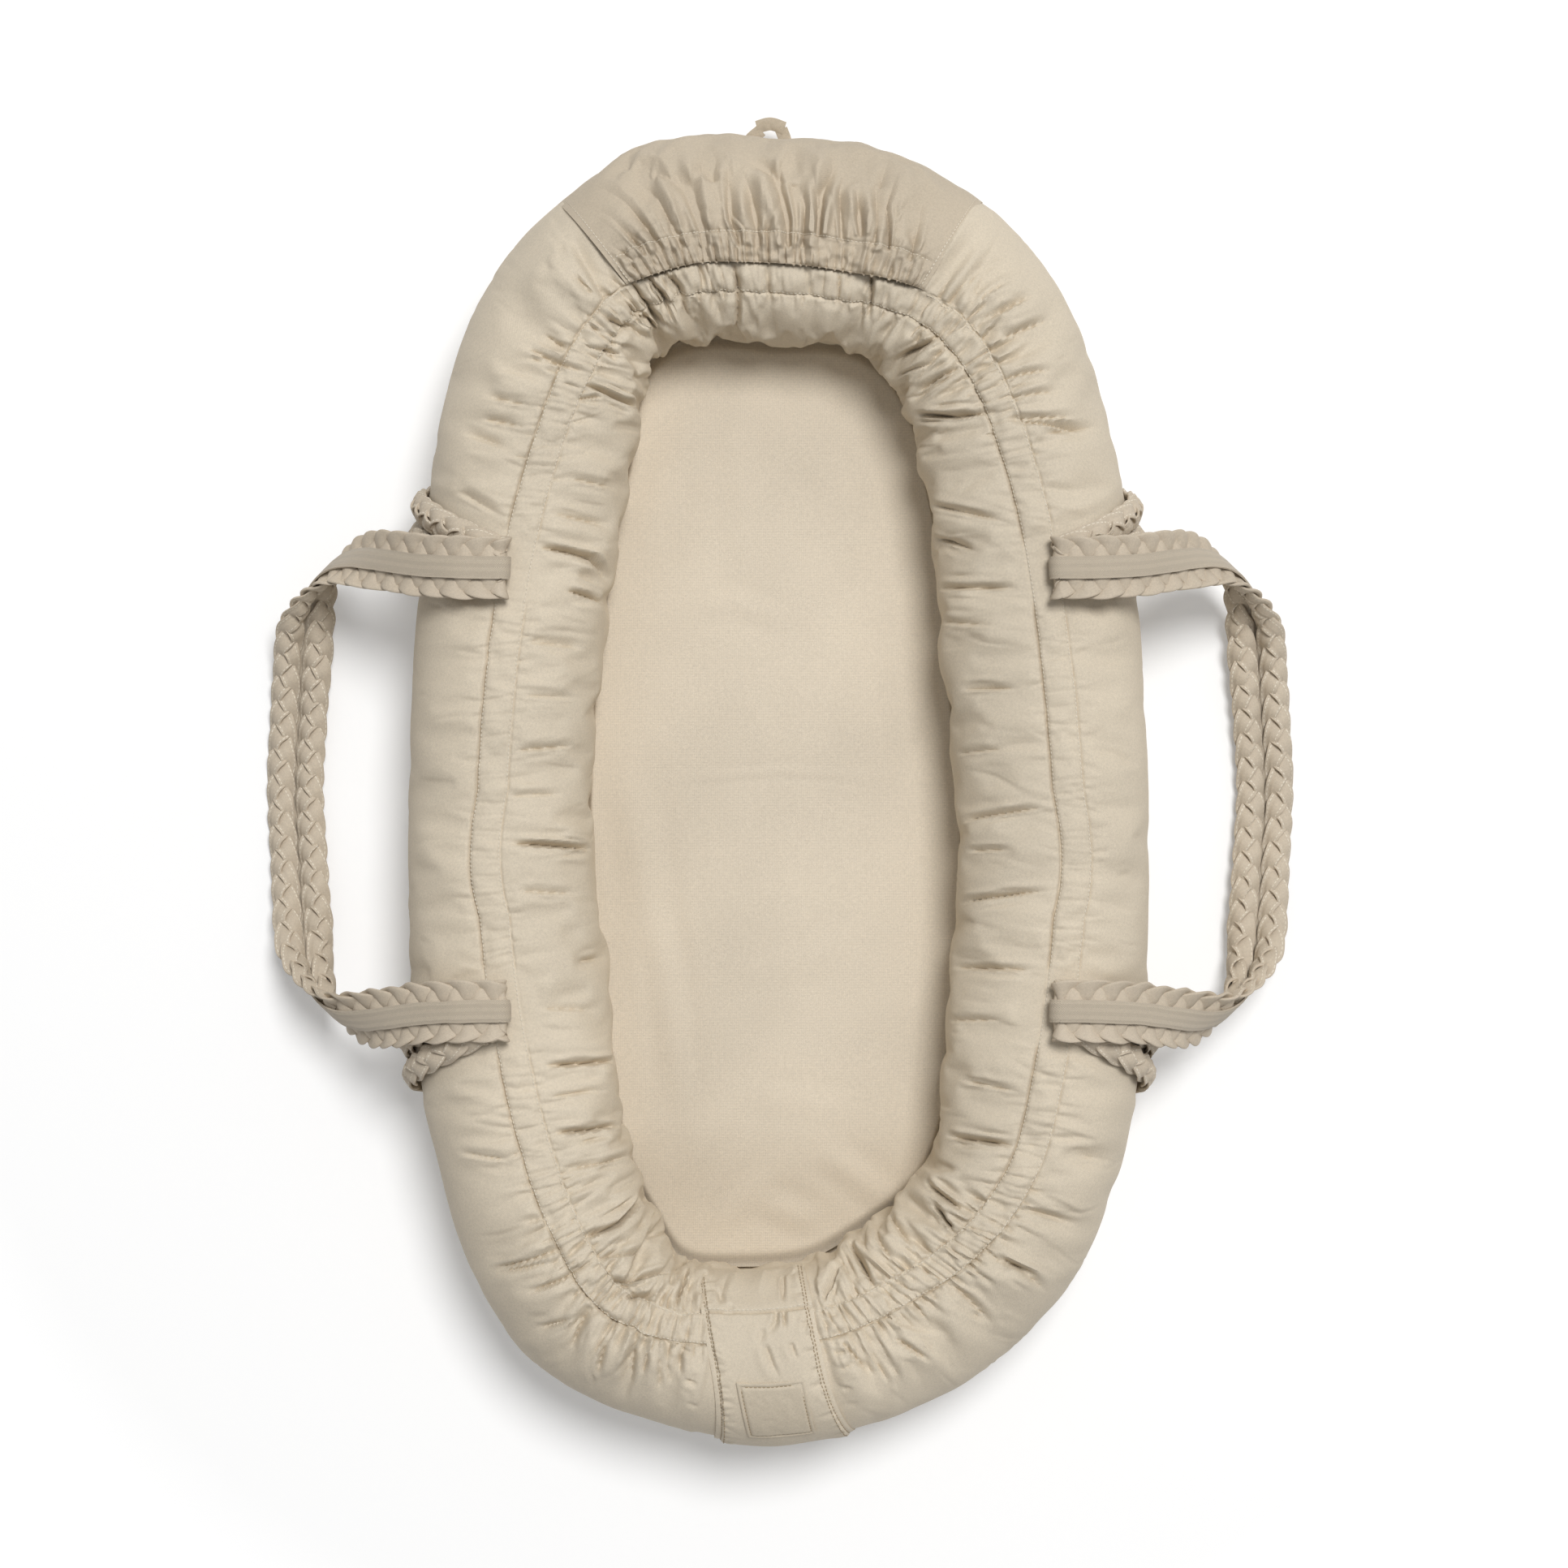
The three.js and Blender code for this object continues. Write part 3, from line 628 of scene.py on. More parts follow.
def anchor_run(side, end):
    """Centre and across vectors of one anchor, from the fold down the wall, for x above 0."""
    start = station_at(side, end * HANDLE_SPACING / 2)
    seam = float(seam_angle(start))
    first = ring_point(start, seam)
    angle = np.linspace(seam - ANCHOR_START, ANCHOR_FOOT, 60)
    share = (seam - angle) / (seam - ANCHOR_FOOT)
    away = -side * end
    moved = ANCHOR_SPLAY * np.sin(share * np.pi / 2)
    lift = ANCHOR_GAP + STRAP_THICKNESS / 2
    step = 0.02
    per_station = np.linalg.norm(ring_point(start + step, angle) - ring_point(start - step, angle), axis=1)
    station = start + away * moved * 2 * step / per_station
    wall = ring_point(station, angle, lift)
    way = ring_point(station + step, angle) - ring_point(station - step, angle)
    across = unit(-away * way)
    flat = [(fold_place(side) * side, first[1], CREST + lift)]
    centre = np.vstack([flat, wall])
    across = np.vstack([[(0, -end, 0)], across])
    centre[:, 0] *= side
    across[:, 0] *= side
    fine = open_curve(centre, np.linspace(0, 1, ANCHOR_STEPS))
    fine_across = open_curve(across, np.linspace(0, 1, ANCHOR_STEPS))
    along = lengths_along(fine)
    even = np.arange(0, along[-1], STRAP_STEP)
    return tuple(np.stack([np.interp(even, along, v) for v in run.T], axis=1) for run in (fine, fine_across))


def fold_run(lower, upper, across):
    """The turn between an anchor's end and a handle's end, bulging towards the middle."""
    turn = np.linspace(0, np.pi, FOLD_POINTS)[1:-1]
    share = (1 - np.cos(turn))[:, None] / 2
    centre = lower + (upper - lower) * share
    centre[:, 0] -= FOLD_BULGE * np.sin(turn)
    return centre, np.repeat(across[None], len(centre), axis=0)


def soften(run, turns):
    """Rounds off a run of points or vectors between its two ends."""
    for _ in range(turns):
        run[1:-1] = (run[:-2] + 2 * run[1:-1] + run[2:]) / 4
    return run


def strap_frames(side):
    """Frames of a whole strap and the count of steps in its five stretches, mirrored for the left."""
    handle, handle_across = handle_run(side)
    back = int(FOLD_SETBACK / STRAP_STEP)
    handle, handle_across = handle[back:-back], handle_across[back:-back]
    runs = []
    for end in (1, -1):
        anchor, anchor_across = anchor_run(side, end)
        anchor, anchor_across = anchor[back:], anchor_across[back:]
        tip = handle[0] if end > 0 else handle[-1]
        fold, fold_across = fold_run(anchor[0], tip, anchor_across[0])
        runs.append((anchor[::-1], anchor_across[::-1], fold, fold_across))
    head, foot = runs
    stretches = [head[0], head[2], handle, foot[2][::-1], foot[0][::-1]]
    turns = [head[1], head[3], handle_across, foot[3][::-1], foot[1][::-1]]
    centre = np.vstack(stretches)
    across = np.vstack(turns)
    counts = np.cumsum([0] + [len(s) for s in stretches])
    for fold in (1, 3):
        bend = slice(counts[fold] - FOLD_MARGIN, counts[fold + 1] + FOLD_MARGIN)
        centre[bend] = soften(centre[bend], CENTRE_ROUNDS)
        across[bend] = soften(across[bend], ACROSS_ROUNDS)
    along = lengths_along(centre)
    across, normal = square_up(centre, across)
    mirror = (side, 1, 1)
    return along, centre * mirror, across * mirror, normal * mirror, counts


# Cloth grids: columns run along the cloth, rows across it


def nearest_on(line, x, y, stretch=1.0):
    """How far places are from a line, on which side of it, and at which share of the way along it."""
    steps = lengths_along(line)
    best = np.full(y.shape, 1e9)
    side = np.zeros(y.shape)
    where = np.zeros(y.shape)
    for a, b, start, end in zip(line[:-1], line[1:], steps[:-1], steps[1:]):
        way = b - a
        share = np.clip(((x - a[0]) * way[0] + (y - a[1]) * way[1]) / (way @ way), 0, 1)
        dx = (x - a[0] - share * way[0]) * stretch
        dy = y - a[1] - share * way[1]
        distance = np.hypot(dx, dy)
        closer = distance < best
        best = np.where(closer, distance, best)
        side = np.where(closer, np.sign(dx * way[1] - dy * way[0]), side)
        where = np.where(closer, start + share * (end - start), where)
    return best, side, where / steps[-1]


class ClothGrid:
    """Points of a cloth before it is creased, and the height that creases and puckers add to it.

    along is each column's distance, over each point's distance across, from the casing's outer seam."""

    def __init__(self, base, along, over, closed=False):
        self.base, self.along, self.over, self.closed = base, along, over, closed
        self.pitch = along[1] - along[0]
        self.around = self.pitch * len(along)
        self.normals = grid_normals(base, closed)
        if self.normals[len(along) // 2, over.shape[1] // 2, 2] < 0:
            self.normals = -self.normals
        ahead = np.roll(base, -1, 0) - base
        if not closed:
            ahead[-1] = ahead[-2]
        self.spread = np.linalg.norm(ahead, axis=2) / self.pitch
        self.field = np.zeros(over.shape)

    def columns_near(self, low, high):
        window = np.arange(int(np.floor(low / self.pitch)), int(np.ceil(high / self.pitch)) + 1)
        if self.closed:
            return window * self.pitch, window % len(self.along)
        window = window[(window >= 0) & (window < len(self.along))]
        return window * self.pitch, window

    def crease(self, line, depth, width, fade=(0.1, 0.5), skew=0.35, shoulder=0.4, sharp=1.2, grow=0.0):
        """Presses in one crease. line is its (along, over) points; fade is the share of its length over
        which it dies out at each end; skew, from -1 to 1, makes one side steeper; sharp is its section;
        grow is how much wider it becomes towards its end."""
        line = np.asarray(line, float)
        reach = width * (1 + grow) * 6
        x, columns = self.columns_near(line[:, 0].min() - reach, line[:, 0].max() + reach)
        if not len(columns):
            return
        best, side, share = nearest_on(line, x[:, None], self.over[columns], self.spread[columns])
        strength = ramp(share, 0, max(fade[0], 1e-3)) * ramp(1 - share, 0, max(fade[1], 1e-3))
        scaled = best / (width * (1 + skew * side) * (1 + grow * share))
        valley = np.exp(-(scaled**sharp))
        bank = bell((scaled - 2.2) / 1.2) * (1 + 0.6 * skew * side)
        self.field[columns] += depth * strength * (shoulder * bank - valley)

    def locate(self, point):
        """(along, over) of the place on the upper side that is nearest to a point in plan."""
        away = np.hypot(self.base[..., 0] - point[0], self.base[..., 1] - point[1])
        away = away + np.where(self.normals[..., 2] > 0.05, 0, 1e3)
        column, row = np.unravel_index(np.argmin(away), away.shape)
        return self.along[column], self.over[column, row]

    def plan_line(self, points):
        """(along, over) of a line of points in plan, kept in one piece where the ring closes."""
        line = np.array([self.locate(point) for point in points])
        if self.closed:
            jump = line[:, 0] - line[0, 0] + self.around / 2
            line[:, 0] = line[0, 0] + jump % self.around - self.around / 2
        return line

    def shape(self):
        return self.base + self.normals * self.field[..., None]

    def places(self):
        """(along, over) of every point."""
        return np.stack([np.broadcast_to(self.along[:, None], self.over.shape), self.over], axis=-1)


def rows_between(low, high, wanted, station):
    """Angles from low to high over the surface at the wanted shares of the way, for each station."""
    share = np.linspace(0, 1, PROFILE_STEPS)
    fine = low[:, None] + (high - low)[:, None] * share
    points = ring_point(station[:, None], fine)
    steps = np.linalg.norm(np.diff(points, axis=1), axis=2)
    along = np.concatenate([np.zeros((len(station), 1)), np.cumsum(steps, axis=1)], axis=1)
    angles = np.stack([np.interp(wanted * a[-1], a, f) for a, f in zip(along, fine)])
    return angles, along[:, -1:] * wanted


# Cloth simulation

WEIGHT_STEPS = 20
CLOTH_QUALITY = 6
CLOTH_MASS = 0.1
CLOTH_STIFFNESS = 18


def weigh(piece, name, weights):
    """A vertex group with a weight from 0 to 1 for each vertex, in even steps."""
    group = piece.vertex_groups.new(name=name)
    steps = np.round(np.ravel(weights) * WEIGHT_STEPS).astype(int)
    for step in range(1, WEIGHT_STEPS + 1):
        group.add(np.flatnonzero(steps == step).tolist(), step / WEIGHT_STEPS, "REPLACE")
    return group.name


def relaxed(base, held, surplus, closed, pressure, bending, frames):
    """Lets a cloth that is larger than its place find its own folds, and returns how far it moved.

    held is each point's hold from 0 to 1 and surplus the share by which the cloth is larger there."""
    piece = mesh_object("relaxing_cloth", base, grid_faces(*base.shape[:2], closed), thread)
    modifier = piece.modifiers.new("relax", "CLOTH")
    cloth = modifier.settings
    cloth.quality = CLOTH_QUALITY
    cloth.mass = CLOTH_MASS
    cloth.tension_stiffness = CLOTH_STIFFNESS
    cloth.compression_stiffness = CLOTH_STIFFNESS
    cloth.bending_stiffness = bending
    cloth.use_pressure = True
    cloth.uniform_pressure_force = pressure
    cloth.vertex_group_mass = weigh(piece, "held", held)
    least, most = surplus.min(), surplus.max()
    cloth.vertex_group_shrink = weigh(piece, "snug", (most - surplus) / (most - least))
    cloth.shrink_min = -most
    cloth.shrink_max = -least
    cloth.effector_weights.gravity = 0
    modifier.collision_settings.use_collision = False
    for step in range(1, frames + 1):
        bpy.context.scene.frame_set(step)
    found = piece.evaluated_get(bpy.context.evaluated_depsgraph_get()).data
    points = np.empty(base.size)
    found.vertices.foreach_get("co", points)
    moved = points.reshape(base.shape) / MM - base
    bpy.context.scene.frame_set(1)
    mesh = piece.data
    bpy.data.objects.remove(piece)
    bpy.data.meshes.remove(mesh)
    return moved


def without_bulge(moved, width, closed):
    """A movement without its slow part, which is its mean over width columns."""
    reach = width // 2
    around = "wrap" if closed else "edge"
    steps = np.pad(moved, ((reach + 1, reach), (0, 0), (0, 0)), mode=around)
    total = np.cumsum(steps, axis=0)
    return moved - (total[2 * reach + 1 :] - total[: -2 * reach - 1]) / (2 * reach + 1)


def capped(moved, reach):
    length = np.linalg.norm(moved, axis=-1, keepdims=True)
    return moved * np.minimum(1, reach / np.maximum(length, 1e-6))


def smooth_rows(values, places):
    """Values at fractional places along the first axis, on a smooth curve through the rows."""
    whole = np.clip(np.floor(places).astype(int), 0, len(values) - 2)
    t = (places - whole).reshape(-1, *[1] * (values.ndim - 1))
    a, b, c, d = (values[np.clip(whole + k, 0, len(values) - 1)] for k in (-1, 0, 1, 2))
    return b + 0.5 * t * (c - a + t * (2 * a - 5 * b + 4 * c - d + t * (3 * (b - c) + d - a)))


def enlarged(values, columns, rows, closed):
    """A coarse grid's values at the fractional columns and rows of a finer one."""
    if closed:
        margin = 4
        values = np.concatenate([values[-margin:], values, values[:margin]])
        columns = columns + margin
    wide = smooth_rows(values, columns)
    return smooth_rows(wide.swapaxes(0, 1), rows).swapaxes(0, 1)


# The covers: one grid from the outer foot over the casing to the lying surface

COLUMNS = 1800
WALL_ROWS = 90
CASING_ROWS = 18
LINING_ROWS = 80
LINING_FOOT = 22.0
PROFILE_STEPS = 260


def even_stations(count):
    """Stations at even steps along the casing's outer seam, and their distances along it."""
    fine = np.linspace(0, STATIONS, 6000)
    along = lengths_along(ring_point(fine, seam_angle(fine)))
    steps = np.arange(count) * along[-1] / count
    return np.interp(steps, along, fine), steps


def even(count):
    return np.linspace(0, 1, count)


def crowded(count, first=0.0, last=0.0):
    """Shares of a distance that lie closer together at its first or its last end."""
    share = even(count)
    return share - (first - last) * np.sin(np.pi * share) / np.pi


def crowded_both(count, amount):
    share = even(count)
    return share - amount * np.sin(2 * np.pi * share) / (2 * np.pi)


def cover_grid(columns, wall_rows, casing_rows, lining_rows):
    """The covers' grid; the rows are shares of the way over the wall, the casing and the lining."""
    station, along = even_stations(columns)
    outer = seam_angle(station)
    inner = seam_angle(station, CASING)
    foot = np.full(columns, inner_angle(LINING_FOOT))
    wall, wall_over = rows_between(np.full(columns, -90.0), outer, wall_rows, station)
    casing, casing_over = rows_between(outer, inner, casing_rows, station)
    drop, drop_over = rows_between(inner, foot, lining_rows, station)
    wall_over = wall_over - wall_over[:, -1:]
    drop_over = drop_over + casing_over[:, -1:]
    angles = np.hstack([wall, casing[:, 1:], drop[:, 1:]])
    over = np.hstack([wall_over, casing_over[:, 1:], drop_over[:, 1:]])
    return station, ClothGrid(ring_point(station[:, None], angles), along, over, closed=True)


FINE_ROWS = (crowded(WALL_ROWS, last=0.7), crowded_both(CASING_ROWS, 0.6), crowded(LINING_ROWS, first=0.7))
column_stations, cover = cover_grid(COLUMNS, *FINE_ROWS)

# How strongly the casing's elastic gathers the cloth, station by station
GATHER_SHARES = [
    0.5, 0.55, 0.75, 0.95, 0.95, 0.5, 0.25, 0.22, 0.2, 0.2,
    0.25, 0.45, 0.9, 0.95, 0.8, 0.35, 0.95, 1.0, 0.7, 0.4,
    0.25, 0.22, 0.22, 0.27, 0.32, 0.38, 0.8, 1.0, 0.95,
]


def gather_at(station):
    force = closed_curve(np.array(GATHER_SHARES)[:, None], station)[..., 0]
    return np.clip(force, 0.15, 1.0)


def lay_gathers(cloth, seed):
    """Gathers along both of the casing's seams: most are short, and a few run far over the wall."""
    random = np.random.default_rng(seed)
    place = 0.0
    while place < cloth.around:
        force = gather_at(np.interp(place, cloth.along, column_stations))
        for way, start in ((-1, 0.0), (1, CASING)):
            reach = min(random.gamma(1.7, 10.0) * (0.5 + force), 80.0)
            depth = (0.5 + 3.2 * force**1.5) * random.uniform(0.4, 1.4) * min(1.0, reach / 12)
            width = random.uniform(0.8, 1.5) + reach * 0.015
            lean = random.normal(0, 0.2) * reach
            begin = place + random.normal(0, 1.2)
            middle = (begin + lean * 0.4, start + way * reach * 0.5)
            line = [(begin, start), middle, (begin + lean, start + way * reach)]
            skew = random.uniform(-0.6, 0.6)
            cloth.crease(line, depth, width, fade=(0.03, 0.9), skew=skew, sharp=1.05, grow=0.8)
        lean = random.normal(0, 2.4)
        depth = (0.3 + 1.7 * force**1.3) * random.uniform(0.4, 1.2)
        line = [(place, 0.5), (place + lean, CASING - 0.5)]
        width = random.uniform(0.8, 1.5)
        cloth.crease(line, depth, width, fade=(0.03, 0.03), skew=random.uniform(-0.5, 0.5))
        place += random.uniform(4.0, 9.0) * (1.35 - 0.75 * force)


# Creases that the photograph shows one by one: pixels of the photograph, depth and width in millimetres
PHOTO_MIDDLE = 966.0
PHOTO_PIXEL = 0.546
PHOTO_CREASES = [
    ([(1206, 404), (1280, 365)], 5.0, 2.6),
    ([(1190, 388), (1256, 344)], 3.4, 3.0),
    ([(1216, 428), (1304, 392)], 3.6, 2.6),
    ([(1218, 475), (1300, 457)], 4.0, 2.6),
    ([(1226, 497), (1312, 484)], 2.6, 2.4),
    ([(1232, 521), (1330, 514)], 4.0, 2.8),
    ([(1277, 539), (1362, 523)], 3.0, 3.4),
    ([(1098, 444), (1165, 421)], 7.0, 2.6),
    ([(1129, 482), (1188, 451)], 6.0, 2.4),
    ([(1129, 507), (1172, 516), (1227, 512)], 9.0, 2.6),
    ([(1106, 460), (1160, 446)], 3.6, 2.2),
    ([(1149, 617), (1248, 649)], 4.4, 3.0),
    ([(1153, 657), (1208, 684)], 5.0, 2.6),
    ([(1153, 724), (1264, 728)], 4.6, 2.6),
    ([(1160, 764), (1236, 772)], 2.6, 3.0),
    ([(1185, 850), (1256, 850)], 3.4, 3.0),
    ([(1180, 931), (1250, 922)], 2.4, 2.6),
    ([(1186, 1014), (1294, 993)], 4.8, 2.8),
    ([(1192, 1050), (1248, 1046)], 2.6, 2.4),
    ([(1186, 1116), (1294, 1095)], 5.0, 2.6),
    ([(1169, 1194), (1285, 1194)], 4.6, 2.6),
    ([(1172, 1262), (1240, 1254)], 2.8, 2.8),
    ([(1178, 1330), (1262, 1344)], 2.8, 3.0),
    ([(1165, 1402), (1256, 1410)], 8.0, 2.6),
    ([(1140, 1460), (1198, 1501)], 7.0, 2.4),
    ([(1148, 1480), (1177, 1521)], 8.0, 2.2),
    ([(1100, 1500), (1132, 1548)], 4.4, 2.4),
    ([(1045, 1530), (1080, 1588)], 9.0, 2.4),
    ([(1078, 1518), (1108, 1562)], 3.8, 2.4),
    ([(1236, 522), (1347, 534)], 4.6, 3.2),
    ([(1300, 660), (1378, 668)], 1.8, 4.0),
    ([(1320, 1420), (1378, 1436)], 2.0, 4.0),
    ([(1258, 1486), (1330, 1510)], 3.4, 2.8),
    ([(1215, 1534), (1294, 1597)], 4.4, 3.0),
    ([(1214, 1541), (1280, 1572)], 5.0, 2.6),
    ([(1168, 1574), (1226, 1632)], 3.4, 2.8),
    ([(1097, 1638), (1148, 1676)], 4.6, 2.6),
    ([(1033, 1643), (1074, 1692)], 5.0, 2.6),
    ([(1066, 1650), (1098, 1706)], 3.0, 2.8),
    ([(902, 314), (908, 347), (906, 399), (904, 416)], 5.6, 2.6),
    ([(1071, 332), (1072, 366), (1068, 398)], 7.0, 2.2),
    ([(1030, 330), (1034, 362), (1028, 384)], 3.4, 2.2),
    ([(862, 330), (868, 372)], 3.6, 2.2),
    ([(944, 330), (948, 376)], 3.0, 2.4),
    ([(775, 345), (800, 380), (819, 414)], 9.0, 2.6),
    ([(790, 338), (815, 365), (832, 396)], 7.0, 2.2),
    ([(762, 372), (792, 394), (819, 414)], 7.0, 2.2),
    ([(810, 330), (838, 362), (848, 394)], 6.0, 2.4),
    ([(742, 396), (786, 412)], 5.0, 2.4),
    ([(722, 432), (774, 440)], 4.0, 2.4),
    ([(735, 372), (706, 342)], 3.4, 2.8),
    ([(704, 436), (668, 412)], 3.0, 3.0),
    ([(645, 428), (687, 452), (730, 463)], 4.4, 2.8),
    ([(721, 476), (785, 499)], 8.0, 2.2),
    ([(712, 495), (746, 492)], 4.0, 2.0),
    ([(595, 488), (664, 506)], 3.4, 3.6),
    ([(590, 515), (659, 531)], 3.0, 3.4),
    ([(565, 529), (636, 559)], 3.4, 3.8),
    ([(559, 601), (626, 641)], 3.0, 4.4),
    ([(696, 590), (764, 604)], 3.0, 3.0),
    ([(676, 634), (752, 650)], 3.4, 3.0),
    ([(658, 675), (732, 689), (750, 718)], 9.0, 2.6),
    ([(695, 728), (743, 744)], 6.4, 2.2),
    ([(640, 790), (724, 800)], 2.4, 3.2),
    ([(638, 858), (716, 862)], 2.4, 3.4),
    ([(630, 925), (713, 917)], 3.4, 3.2),
    ([(622, 982), (700, 978)], 2.2, 3.0),
    ([(624, 1039), (728, 1049)], 9.0, 2.4),
    ([(636, 1096), (716, 1102)], 2.6, 3.0),
    ([(712, 1186), (744, 1182)], 3.2, 2.4),
    ([(648, 1240), (736, 1248)], 2.6, 3.2),
    ([(666, 1311), (759, 1313)], 7.6, 2.4),
    ([(670, 1350), (748, 1344)], 2.8, 2.8),
    ([(678, 1394), (767, 1391)], 7.6, 2.4),
    ([(694, 1440), (776, 1430)], 3.4, 2.6),
    ([(711, 1524), (764, 1510), (795, 1478)], 9.0, 2.4),
    ([(741, 1574), (828, 1569)], 7.6, 2.4),
    ([(728, 1550), (806, 1536)], 4.4, 2.4),
    ([(764, 1594), (812, 1592)], 6.0, 2.2),
    ([(562, 1418), (641, 1427)], 3.0, 3.8),
    ([(540, 1290), (606, 1300)], 2.0, 4.2),
    ([(599, 1568), (699, 1543)], 4.0, 3.0),
    ([(606, 1564), (682, 1538), (716, 1530)], 5.0, 2.8),
    ([(649, 1592), (698, 1570), (736, 1548)], 5.0, 2.4),
    ([(657, 1638), (718, 1615)], 4.2, 2.8),
    ([(724, 1614), (700, 1665)], 4.2, 2.6),
    ([(752, 1638), (735, 1695)], 4.6, 2.6),
    ([(785, 1652), (775, 1708)], 3.4, 2.8),
    ([(815, 1658), (812, 1712)], 3.2, 2.6),
    ([(838, 1656), (840, 1694)], 2.8, 2.4),
    ([(800, 1656), (792, 1690)], 3.4, 2.0),
    ([(832, 1614), (852, 1562)], 6.0, 2.4),
    ([(1018, 1620), (1036, 1614)], 2.2, 2.6),
    ([(1021, 1640), (1046, 1630)], 2.0, 2.4),
    ([(1027, 1664), (1044, 1658)], 2.4, 2.6),
    ([(1031, 1684), (1058, 1668)], 1.8, 2.6),
    ([(1036, 1708), (1052, 1702)], 2.2, 2.6),
    ([(1042, 1732), (1060, 1722)], 1.6, 2.6),
    ([(854, 1640), (838, 1634)], 2.0, 2.6),
    ([(857, 1664), (834, 1650)], 1.8, 2.6),
    ([(861, 1698), (845, 1692)], 2.2, 2.6),
    ([(865, 1730), (846, 1720)], 1.6, 2.6),
    ([(1013, 1606), (1030, 1570), (1036, 1552)], 6.0, 2.8),
    ([(860, 1600), (884, 1560)], 5.0, 2.8),
]


def on_plan(pixels):
    """Places of the photograph on the plan, at the height of the roll."""
    x, y = np.array(pixels, float).T - PHOTO_MIDDLE
    return np.stack([x, -y], axis=1) * PHOTO_PIXEL + np.array(CAMERA_PLACE[:2]) / MM


def lay_wrinkles(cloth, seed):
    """Short soft wrinkles that run across the roll, here and there over both walls."""
    random = np.random.default_rng(seed)
    place = 0.0
    while place < cloth.around:
        force = gather_at(np.interp(place, cloth.along, column_stations))
        for low, high in ((-115.0, -12.0), (CASING + 6, CASING + 75)):
            start = random.uniform(low, high)
            reach = random.uniform(14, 60) * random.choice((-1, 1))
            lean = random.normal(0, 0.16) * reach
            line = [(place, start), (place + lean * 0.7, start + reach / 2), (place + lean, start + reach)]
            depth = random.uniform(0.3, 1.4) * (0.4 + 1.3 * force)
            width = random.uniform(1.1, 2.8)
            cloth.crease(line, depth, width, fade=(0.45, 0.45), skew=random.uniform(-0.6, 0.6), sharp=1.1)
        place += random.uniform(3.0, 9.0) * (1.7 - 0.9 * force)


# Waves of the covers: height, count round the ring, length across, place in the noise and seed
LUMPS = [(1.6, 26, 60, 5, 3), (1.0, 52, 42, 9, 4)]
RIDGES = [(0.8, 110, 55, 3, 5), (0.45, 200, 34, 7, 6)]
SURPLUS_WAVES = [(1.0, 90, 60, 5, 3), (1.0, 170, 40, 5, 8)]


def waves_over(cloth, waves):
    turns = cloth.along[:, None] / cloth.around
    return sum(
        height * noise(turns * count, cloth.over / length + place, seed, count)
        for height, count, length, place, seed in waves
    )


def undulation(cloth, force):
    """Slow waves: lumps of the stuffing, and soft ridges that run across the roll."""
    return waves_over(cloth, LUMPS) + waves_over(cloth, RIDGES) * (0.25 + 1.4 * force)


def seam_waver(seam):
    """How far a casing seam strays sideways, more where it is strongly gathered."""
    turns = np.arange(COLUMNS) / COLUMNS
    waver = noise(turns * 230, turns * 0 + 4 + seam, 91, 230)
    return 0.9 * waver * gather_at(column_stations)


def seam_dips(cloth):
    """The two stitched lines of the casing pull the cloth in, deeper where one cloth laps the other."""
    x, y = cloth.base[..., 0], cloth.base[..., 1]
    right = ramp(x, 40, 110) * ramp(y, -330, -250)
    head = ramp(y, 250, 310)
    laps = (0.9 * (1 - right), np.maximum(right, 0.5 * head))
    dip = 0.0
    for seam, lap in zip((0.0, CASING), laps):
        away = np.abs(cloth.over - seam - seam_waver(seam)[:, None])
        deep = 1.1 + 1.9 * lap
        dip = dip - deep * np.exp(-((away / (0.85 + 0.2 * lap)) ** 1.5)) - 1.1 * bell(away / 6.0)
    return dip


COVER_LOWEST = -11.0
COVER_HIGHEST = 5.0
# Where the head pocket, the foot band and the hang loop lie
POCKET_LEFT = (0.938 - 1) * STATIONS
POCKET_RIGHT = 0.0828 * STATIONS
POCKET_LIFT = 4.2
POCKET_HOLLOW = 3.0
LOOP_MIDDLE = -9.5
LOOP_DENT = 7.0
BAND_OUTSIDE = 97.0
BAND_INSIDE = 76.0
BAND_STATION = 0.511 * STATIONS
BAND_MIDDLE = float(ring_point(BAND_STATION, seam_angle(BAND_STATION))[0])
BAND_LIFT = 3.0


def loop_dent(cloth):
    """How far the hang loop's seam pulls the cloth in round it."""
    x, y, z = np.moveaxis(cloth.base, -1, 0)
    near = np.exp(-(((x - LOOP_MIDDLE) / 20) ** 2) - ((z - 50) / 50) ** 2)
    return LOOP_DENT * near * (y > 0) * ramp(-cloth.over, 0, 30)


def near_line(points, line, low, high):
    """1 within low of a line of points and 0 beyond high."""
    nearest = np.full(points.shape[:-1], 1e9)
    for place in line:
        nearest = np.minimum(nearest, np.linalg.norm(points - place, axis=-1))
    return 1 - ramp(nearest, low, high)


